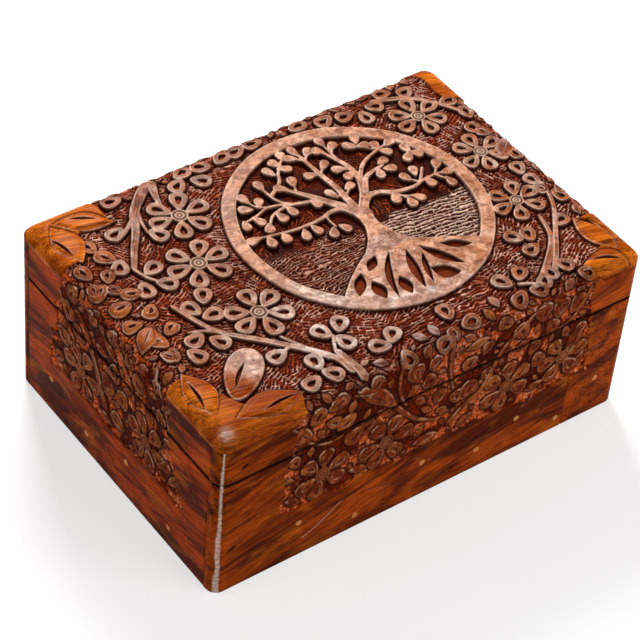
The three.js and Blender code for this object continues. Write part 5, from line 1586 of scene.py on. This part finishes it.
def brass_finish(settings):
    """Aged brass: polished yellow with brown tarnish and fine draw lines."""
    r = Recipe("aged_brass")
    cloudiness = r.noise((0.006, 0.004, 0.004), (0, 0, 0), 4.0, 0.4)
    lines = r.noise((0.012, 0.0004, 0.0004), (0, 0, 0), 2.0, 0.0)
    tarnished = r.between(cloudiness, 0.45, 0.72, 0.0, 0.8)
    color = r.blend(tarnished, linear(settings.brass), linear(settings.tarnish))
    r.link(color, r.shader.inputs["Base Color"])
    r.link(r.between(cloudiness, 0.35, 0.7, 0.28, 0.55), r.shader.inputs["Roughness"])
    r.shader.inputs["Metallic"].default_value = 1.0
    r.bump(lines, 0.00006, 0.6)
    return r.material


def floor_finish(settings):
    """Matt pale floor. What the camera and mirrors see of it is lifted to white, less the shadow."""
    r = Recipe("pale_floor")
    r.shader.inputs["Base Color"].default_value = linear(settings.floor)
    r.shader.inputs["Roughness"].default_value = 0.9
    r.shader.inputs["Specular IOR Level"].default_value = 0.0
    r.shader.inputs["Emission Color"].default_value = (1, 1, 1, 1)
    path = r.add("ShaderNodeLightPath")
    seen = r.math("MAXIMUM", path.outputs["Is Camera Ray"], path.outputs["Is Glossy Ray"])
    seen = r.math("MAXIMUM", seen, path.outputs["Is Transmission Ray"])
    r.link(r.math("MULTIPLY", seen, settings.floor_lift), r.shader.inputs["Emission Strength"])
    return r.material


# Settings

def color_setting(name, description, digits):
    """A colour property with a default given as six hexadecimal digits."""
    return bpy.props.FloatVectorProperty(
        name=name, description=description, subtype="COLOR_GAMMA", size=3, min=0.0, max=1.0,
        default=hexed(digits))


def number_setting(name, description, default, least=0.0, most=1.0, subtype="NONE"):
    """A number, in millimetres where it is a size."""
    return bpy.props.FloatProperty(
        name=name, description=description, default=default, min=least, max=most, subtype=subtype)


class CarvedBoxSettings(bpy.types.PropertyGroup):
    """Sizes in millimetres and colours of the carved box."""

    mesh_step: number_setting("Lid grid", "Spacing of the lid's grid lines", 0.385, 0.2, 3.0)
    wall_step: number_setting("Wall grid", "Spacing of the front and left walls' grid lines", 0.5, 0.2, 3.0)
    plain_step: number_setting("Back grid", "Spacing of the back and right walls' grid lines", 0.72, 0.2, 4.0)
    medallion_depth: number_setting("Medallion depth", "Depth of the ground inside the ring", 2.8, 0.5, 4.0)
    border_depth: number_setting("Border depth", "Depth of the ground round the ring", 2.2, 0.5, 4.0)
    wall_depth: number_setting("Wall depth", "Depth of the ground on the walls", 1.35, 0.3, 3.0)
    skin: number_setting("Skin", "How far the walls stand inside the solid", 0.08, 0.0, 0.5)
    # Corner wear also sets the painted highlight at the lid's front left corner
    corner_wear: number_setting("Corner wear", "Strength of the rubbed corners", 1.0, subtype="FACTOR")
    lid_gloss: number_setting("Lid gloss", "Specular level of the lid's polish", 0.05, subtype="FACTOR")
    wall_gloss: number_setting("Wall gloss", "Specular level of the walls' polish", 0.01, subtype="FACTOR")
    ground_gloss: number_setting("Ground gloss", "Specular level of the cut ground", 0.015, subtype="FACTOR")
    lid_wood: color_setting("Lid wood", "Light zones of the plain wood", "ea7c20")
    lid_deep: color_setting("Lid wood, deep", "Deep zones of the plain wood", "a8480f")
    wall_wood: color_setting("Wall wood", "Light zones of the walls", "c25110")
    wall_deep: color_setting("Wall wood, deep", "Deep zones of the walls", "622005")
    side_wood: color_setting("Side wood", "Light zones of the left and right walls", "ca4c0c")
    side_deep: color_setting("Side wood, deep", "Deep zones of the left and right walls", "601a02")
    streak: color_setting("Streaks", "Dark figure of the wood", "260a03")
    medallion_top: color_setting("Medallion", "Tops of the ring and tree", "e0a482")
    border_top: color_setting("Border", "Tops of the flowers and vines", "b88468")
    side_top: color_setting("Wall carving", "Tops of the shapes on the walls", "843414")
    warm_top: color_setting("Warm mottle", "Mottle on the tops", "a85a2a")
    # Colour of the painted sheen on the tops
    polish: color_setting("Polish", "Pale polish on the tops", "fae6dc")
    golden: color_setting("Golden patches", "Golden patches in the plain wood", "d0701a")
    ground: color_setting("Ground", "Cut ground of the border", "80280c")
    ground_deep: color_setting("Ground, deep", "Darker cut ground", "4a1206")
    fresh_cut: color_setting("Fresh cut", "Bright stippled ground of the walls", "e8682c")
    # Colour of the painted shade in the ground, at the feet of shapes, in cuts and along the edges
    painted_shade: color_setting("Dark polish", "Dark polish in the deepest ground", "180603")
    # Colour of the lid's painted edge highlights
    worn: color_setting("Worn edge", "Rubbed edges of the lid", "fad4be")
    # Colour of the walls' painted edge highlights
    wall_edge_highlight: color_setting("Worn wall edge", "Rubbed edges of the walls", "f6b894")
    # Colour of the bare worn corners, and of the painted highlight at the lid's corner
    bare_wood_and_highlight: color_setting("Bare corner", "Wood laid bare on the upright corners", "f8dccc")
    inner: color_setting("Inside", "Light zones of the wood inside", "8a5230")
    inner_deep: color_setting("Inside, deep", "Deep zones of the wood inside", "6e3c1e")
    inner_streak: color_setting("Inside streaks", "Dark figure of the wood inside", "4a2410")
    peg: color_setting("Peg", "End grain of the pegs", "ea9850")
    peg_pore: color_setting("Peg, deep", "Pores of the pegs", "c4783c")
    peg_pale: color_setting("Peg, pale", "Pale patches of the pegs", "f4b070")
    brass: color_setting("Brass", "Hinges and screws", "c09a50")
    tarnish: color_setting("Tarnish", "Brown patches on the brass", "5f3f1c")
    floor: color_setting("Floor", "Floor", "cacaca")
    floor_lift: number_setting("Floor lift", "Light added to what is seen of the floor", 0.6, 0.0, 2.0)
    key_power: number_setting("Key lamp", "Large soft lamp behind the box", 17.0, 0.0, 1e3, "POWER")
    front_power: number_setting("Front lamp", "Soft lamp at the front", 7.0, 0.0, 1e3, "POWER")
    side_power: number_setting("Side lamp", "Soft lamp at the left", 2.5, 0.0, 1e3, "POWER")
    sky: number_setting("Sky", "Even light from all round", 0.25, 0.0, 10.0)


MADE = {}


def shared(key, make):
    """Something made once and used by several pieces: a material, or the list of fillers."""
    if key not in MADE:
        MADE[key] = make()
    return MADE[key]


def inside_wood(s):
    """Plain wood of the inner faces."""
    cut = (0, (0, 0, 0), s.inner, s.inner_deep, s.inner_streak)
    return shared("inside", lambda: wood("inside_wood", s, *cut, roughness=0.55, gloss=0.2))


def carve_board(node, name, side, start, end, turn, s):
    """Carves one board, with its own cut of the wood: the grain runs along it, a little turned."""
    long = side in ("front", "back")
    light, deep = (s.wall_wood, s.wall_deep) if long else (s.side_wood, s.side_deep)
    # The last of the cut is the colour of the painted edge highlights
    cut = (0 if long else 1, turn, light, deep, s.streak, s.wall_edge_highlight)
    skin = wood(f"{name}_wood", s, *cut, gloss=s.wall_gloss)
    ground = wood(f"{name}_ground", s, *cut, roughness=0.5, gloss=s.ground_gloss)
    Board(node, side, start, end, s).build([skin, inside_wood(s), ground])


def refinish(node, material):
    """Gives a solid that stays in view its material."""
    node.data.materials.clear()
    node.data.materials.append(material)


class CARVEDBOX_OT_lid(bpy.types.Operator):
    """Carves the lid board"""

    bl_idname = "carvedbox.lid"
    bl_label = "Lid board"

    def execute(self, context):
        s = context.scene.carved_box
        # The last of the cut is the colour of the painted edge highlights
        cut = (0, (0, 0, 14), s.lid_wood, s.lid_deep, s.streak, s.worn)
        top = wood("lid_wood", s, *cut, gloss=s.lid_gloss)
        ground = wood("lid_ground", s, *cut, roughness=0.5, gloss=s.ground_gloss)
        plain = wood("lid_plain", s, *cut, gloss=s.ground_gloss)
        build_lid(s, [top, ground, plain, inside_wood(s)])
        return {"FINISHED"}


class CARVEDBOX_OT_rims(bpy.types.Operator):
    """Carves the four rims of the lid"""

    bl_idname = "carvedbox.rims"
    bl_label = "Lid rims"

    def execute(self, context):
        s = context.scene.carved_box
        long, short = (HALF_W, (0, 9, 4)), (SIDE_END, (8, 0, 4))
        for side, (end, turn) in (("front", long), ("back", long), ("left", short), ("right", short)):
            carve_board(f"lid_{side}_rim", f"rim_{side}", side, -end, end, turn, s)
        return {"FINISHED"}


class CARVEDBOX_OT_walls(bpy.types.Operator):
    """Carves the boards of the base"""

    bl_idname = "carvedbox.walls"
    bl_label = "Base boards"

    def execute(self, context):
        s = context.scene.carved_box
        for node, side, start, end, turn in (
            ("base_front_board", "front", -HALF_W, SEAM_LEFT, (0, 12, 5)),
            ("base_front_end_board", "front", SEAM_RIGHT, HALF_W, (0, 3, 24)),
            ("base_back_board", "back", -HALF_W, HALF_W, (0, 12, 5)),
            ("base_left_board", "left", -SIDE_END, SIDE_END, (9, 0, 5)),
            ("base_right_board", "right", -SIDE_END, SIDE_END, (9, 0, 5)),
        ):
            carve_board(node, node, side, start, end, turn, s)
        refinish(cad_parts["bottom_board"], inside_wood(s))
        return {"FINISHED"}


class CARVEDBOX_OT_pegs(bpy.types.Operator):
    """Turns the wooden pegs"""

    bl_idname = "carvedbox.pegs"
    bl_label = "Pegs"

    def execute(self, context):
        finish = peg_wood(context.scene.carved_box)
        for number, node in enumerate(sorted(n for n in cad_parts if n.startswith("peg_"))):
            build_peg(node, number, finish)
        return {"FINISHED"}


# Profile of a peg: place from its inner end or, if negative, from its outer end, and share of its radius
PEG_PROFILE = [(0, 0.05), (0, 0.96), (0.12, 1.0), (-0.4, 1.0), (-0.12, 0.97), (-0.03, 0.88), (-0.02, 0.5),
               (-0.01, 0.05)]


def build_peg(node, number, finish):
    """Turns one peg: rings of an uneven circle carried along its length, closed by a low crown."""
    low, high = node_box(node)
    centre = (low + high) / 2
    axis = 1 if node.startswith(("peg_front", "peg_back")) else 0
    sign = math.copysign(1, centre[axis])
    length = high[axis] - low[axis]
    radius = (high[2] - low[2]) / 2
    t = np.linspace(0, 2 * np.pi, 28, endpoint=False)
    phase = 1.7 * number
    uneven = 1 - 0.035 - 0.05 * np.sin(2 * t + phase) - 0.03 * np.sin(3 * t + 2.3 * phase)
    depth = np.array([length + at if at < 0 else at for at, _ in PEG_PROFILE])
    share = np.array([share for _, share in PEG_PROFILE])[:, None]
    a, b = np.cos(t)[None] * uneven * share * radius, np.sin(t)[None] * uneven * share * radius
    face = sign * (abs(centre[axis]) + length / 2)
    points = np.zeros((*a.shape, 3))
    points[:, :, axis] = face - sign * (length - depth)[:, None]
    points[:, :, 1 - axis] = centre[1 - axis] + a
    points[:, :, 2] = centre[2] + b
    m, n = a.shape
    at = np.arange(m * n).reshape(m, n)
    beside = np.roll(at, -1, axis=1)
    quads = np.stack([at[:-1], beside[:-1], beside[1:], at[1:]], 2).reshape(-1, 4)
    flat = points.reshape(-1, 3)
    # The faces on the peg's side show which way round all are
    radial = points[3, 0] - centre
    radial[axis] = 0
    if quad_normals(flat, quads[3 * n:3 * n + 1])[0] @ radial < 0:
        quads = quads[:, ::-1]
    way = np.zeros(3)
    way[axis] = sign
    rings = [turned_ring(flat, at[0], -way), turned_ring(flat, at[-1], way)]
    build_piece(f"{node}_turned", flat, quads, rings, None, [finish], "base", [node])


class CARVEDBOX_OT_hinges(bpy.types.Operator):
    """Finishes the brass hinges and their screws"""

    bl_idname = "carvedbox.hinges"
    bl_label = "Hinges"

    def execute(self, context):
        finish = brass_finish(context.scene.carved_box)
        for name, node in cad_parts.items():
            if name.startswith("hinge_"):
                refinish(node, finish)
        return {"FINISHED"}


class CARVEDBOX_OT_stage(bpy.types.Operator):
    """Sets the floor, the lamps and the camera"""

    bl_idname = "carvedbox.stage"
    bl_label = "Stage"

    def execute(self, context):
        scene = context.scene
        s = scene.carved_box
        lay_floor(scene, s)
        light_stage(scene, s)
        place_camera(scene)
        scene.view_settings.view_transform = "Standard"
        return {"FINISHED"}


# Camera at the photograph's viewing angle, from the box's own corners and edges
CAMERA_AZIMUTH = math.radians(-39.694)
CAMERA_ELEVATION = math.radians(43.366)
CAMERA_ROLL = math.radians(5.682)
CAMERA_DISTANCE = 1.314
CAMERA_OFFSET = (0.00044, 0.03477)
CAMERA_LENS = 141.72

# What the lamps are turned to, and each lamp's place, width and height, in metres
LAMP_TARGET = (0, 0, 0.07)
LAMPS = {
    "key": ((0.4, 0.92, 0.88), 0.42, 0.42),
    "front": ((0.55, -1.15, 0.75), 0.9, 0.7),
    "side": ((-1.2, 0.15, 0.6), 0.8, 0.6),
}


def add_lamp(scene, name, place, width, height, power):
    """Rectangular soft lamp, turned to the box."""
    data = bpy.data.lights.new(name, "AREA")
    data.shape = "RECTANGLE"
    data.size, data.size_y = width, height
    data.energy = power
    light = bpy.data.objects.new(name, data)
    turned = (Vector(place) - Vector(LAMP_TARGET)).to_track_quat("Z", "Y")
    light.matrix_world = Matrix.Translation(place) @ turned.to_matrix().to_4x4()
    scene.collection.objects.link(light)


def lay_floor(scene, s):
    """A flat grid just under the box, eight metres wide."""
    u = np.linspace(-4, 4, 5)
    x, y = np.meshgrid(u, u, indexing="ij")
    points = np.stack([x, y, np.full_like(x, -0.0002)], 2).reshape(-1, 3)
    mesh = bpy.data.meshes.new("floor")
    mesh.from_pydata(points.tolist(), [], grid_quads(np.arange(x.size).reshape(x.shape)).tolist())
    mesh.materials.append(floor_finish(s))
    floor = bpy.data.objects.new("floor", mesh)
    scene.collection.objects.link(floor)


def light_stage(scene, s):
    """An even white world and three soft lamps."""
    world = bpy.data.worlds.new("studio")
    scene.world = world
    world.use_nodes = True
    nodes, links = world.node_tree.nodes, world.node_tree.links
    nodes.clear()
    sky, output = nodes.new("ShaderNodeBackground"), nodes.new("ShaderNodeOutputWorld")
    sky.inputs["Color"].default_value = (1, 1, 1, 1)
    sky.inputs["Strength"].default_value = s.sky
    links.new(sky.outputs[0], output.inputs[0])
    for name, (place, width, height) in LAMPS.items():
        add_lamp(scene, f"{name}_softbox", place, width, height, getattr(s, f"{name}_power"))


def place_camera(scene):
    """The camera: back from the box along its azimuth and elevation, rolled, then moved sideways and up."""
    turned = Matrix.Rotation(CAMERA_AZIMUTH, 4, "Z") @ Matrix.Rotation(math.pi / 2 - CAMERA_ELEVATION, 4, "X")
    turned = turned @ Matrix.Rotation(CAMERA_ROLL, 4, "Z")
    data = bpy.data.cameras.new("camera")
    data.lens, data.sensor_width = CAMERA_LENS, 36.0
    data.clip_start, data.clip_end = 0.05, 50
    camera = bpy.data.objects.new("camera", data)
    camera.matrix_world = turned @ Matrix.Translation((*CAMERA_OFFSET, CAMERA_DISTANCE))
    scene.collection.objects.link(camera)
    scene.camera = camera


class CARVEDBOX_PT_panel(bpy.types.Panel):
    """Lists the steps that build the box"""

    bl_label = "Carved box"
    bl_idname = "CARVEDBOX_PT_panel"
    bl_space_type = "VIEW_3D"
    bl_region_type = "UI"
    bl_category = "Carved box"

    def draw(self, context):
        s = context.scene.carved_box
        for operator in OPERATORS:
            self.layout.operator(operator.bl_idname)
        for key in CarvedBoxSettings.__annotations__:
            self.layout.prop(s, key)


OPERATORS = (CARVEDBOX_OT_lid, CARVEDBOX_OT_rims, CARVEDBOX_OT_walls, CARVEDBOX_OT_pegs, CARVEDBOX_OT_hinges,
             CARVEDBOX_OT_stage)


def register():
    """Registers the settings, the operators and the panel."""
    for kind in (CarvedBoxSettings, *OPERATORS, CARVEDBOX_PT_panel):
        bpy.utils.register_class(kind)
    bpy.types.Scene.carved_box = bpy.props.PointerProperty(type=CarvedBoxSettings)


def unregister():
    """Takes them out again."""
    del bpy.types.Scene.carved_box
    for kind in reversed((CarvedBoxSettings, *OPERATORS, CARVEDBOX_PT_panel)):
        bpy.utils.unregister_class(kind)


def main():
    """Builds every piece in order."""
    register()
    bpy.ops.carvedbox.lid()
    bpy.ops.carvedbox.rims()
    bpy.ops.carvedbox.walls()
    bpy.ops.carvedbox.pegs()
    bpy.ops.carvedbox.hinges()
    bpy.ops.carvedbox.stage()


if __name__ == "__main__":
    main()
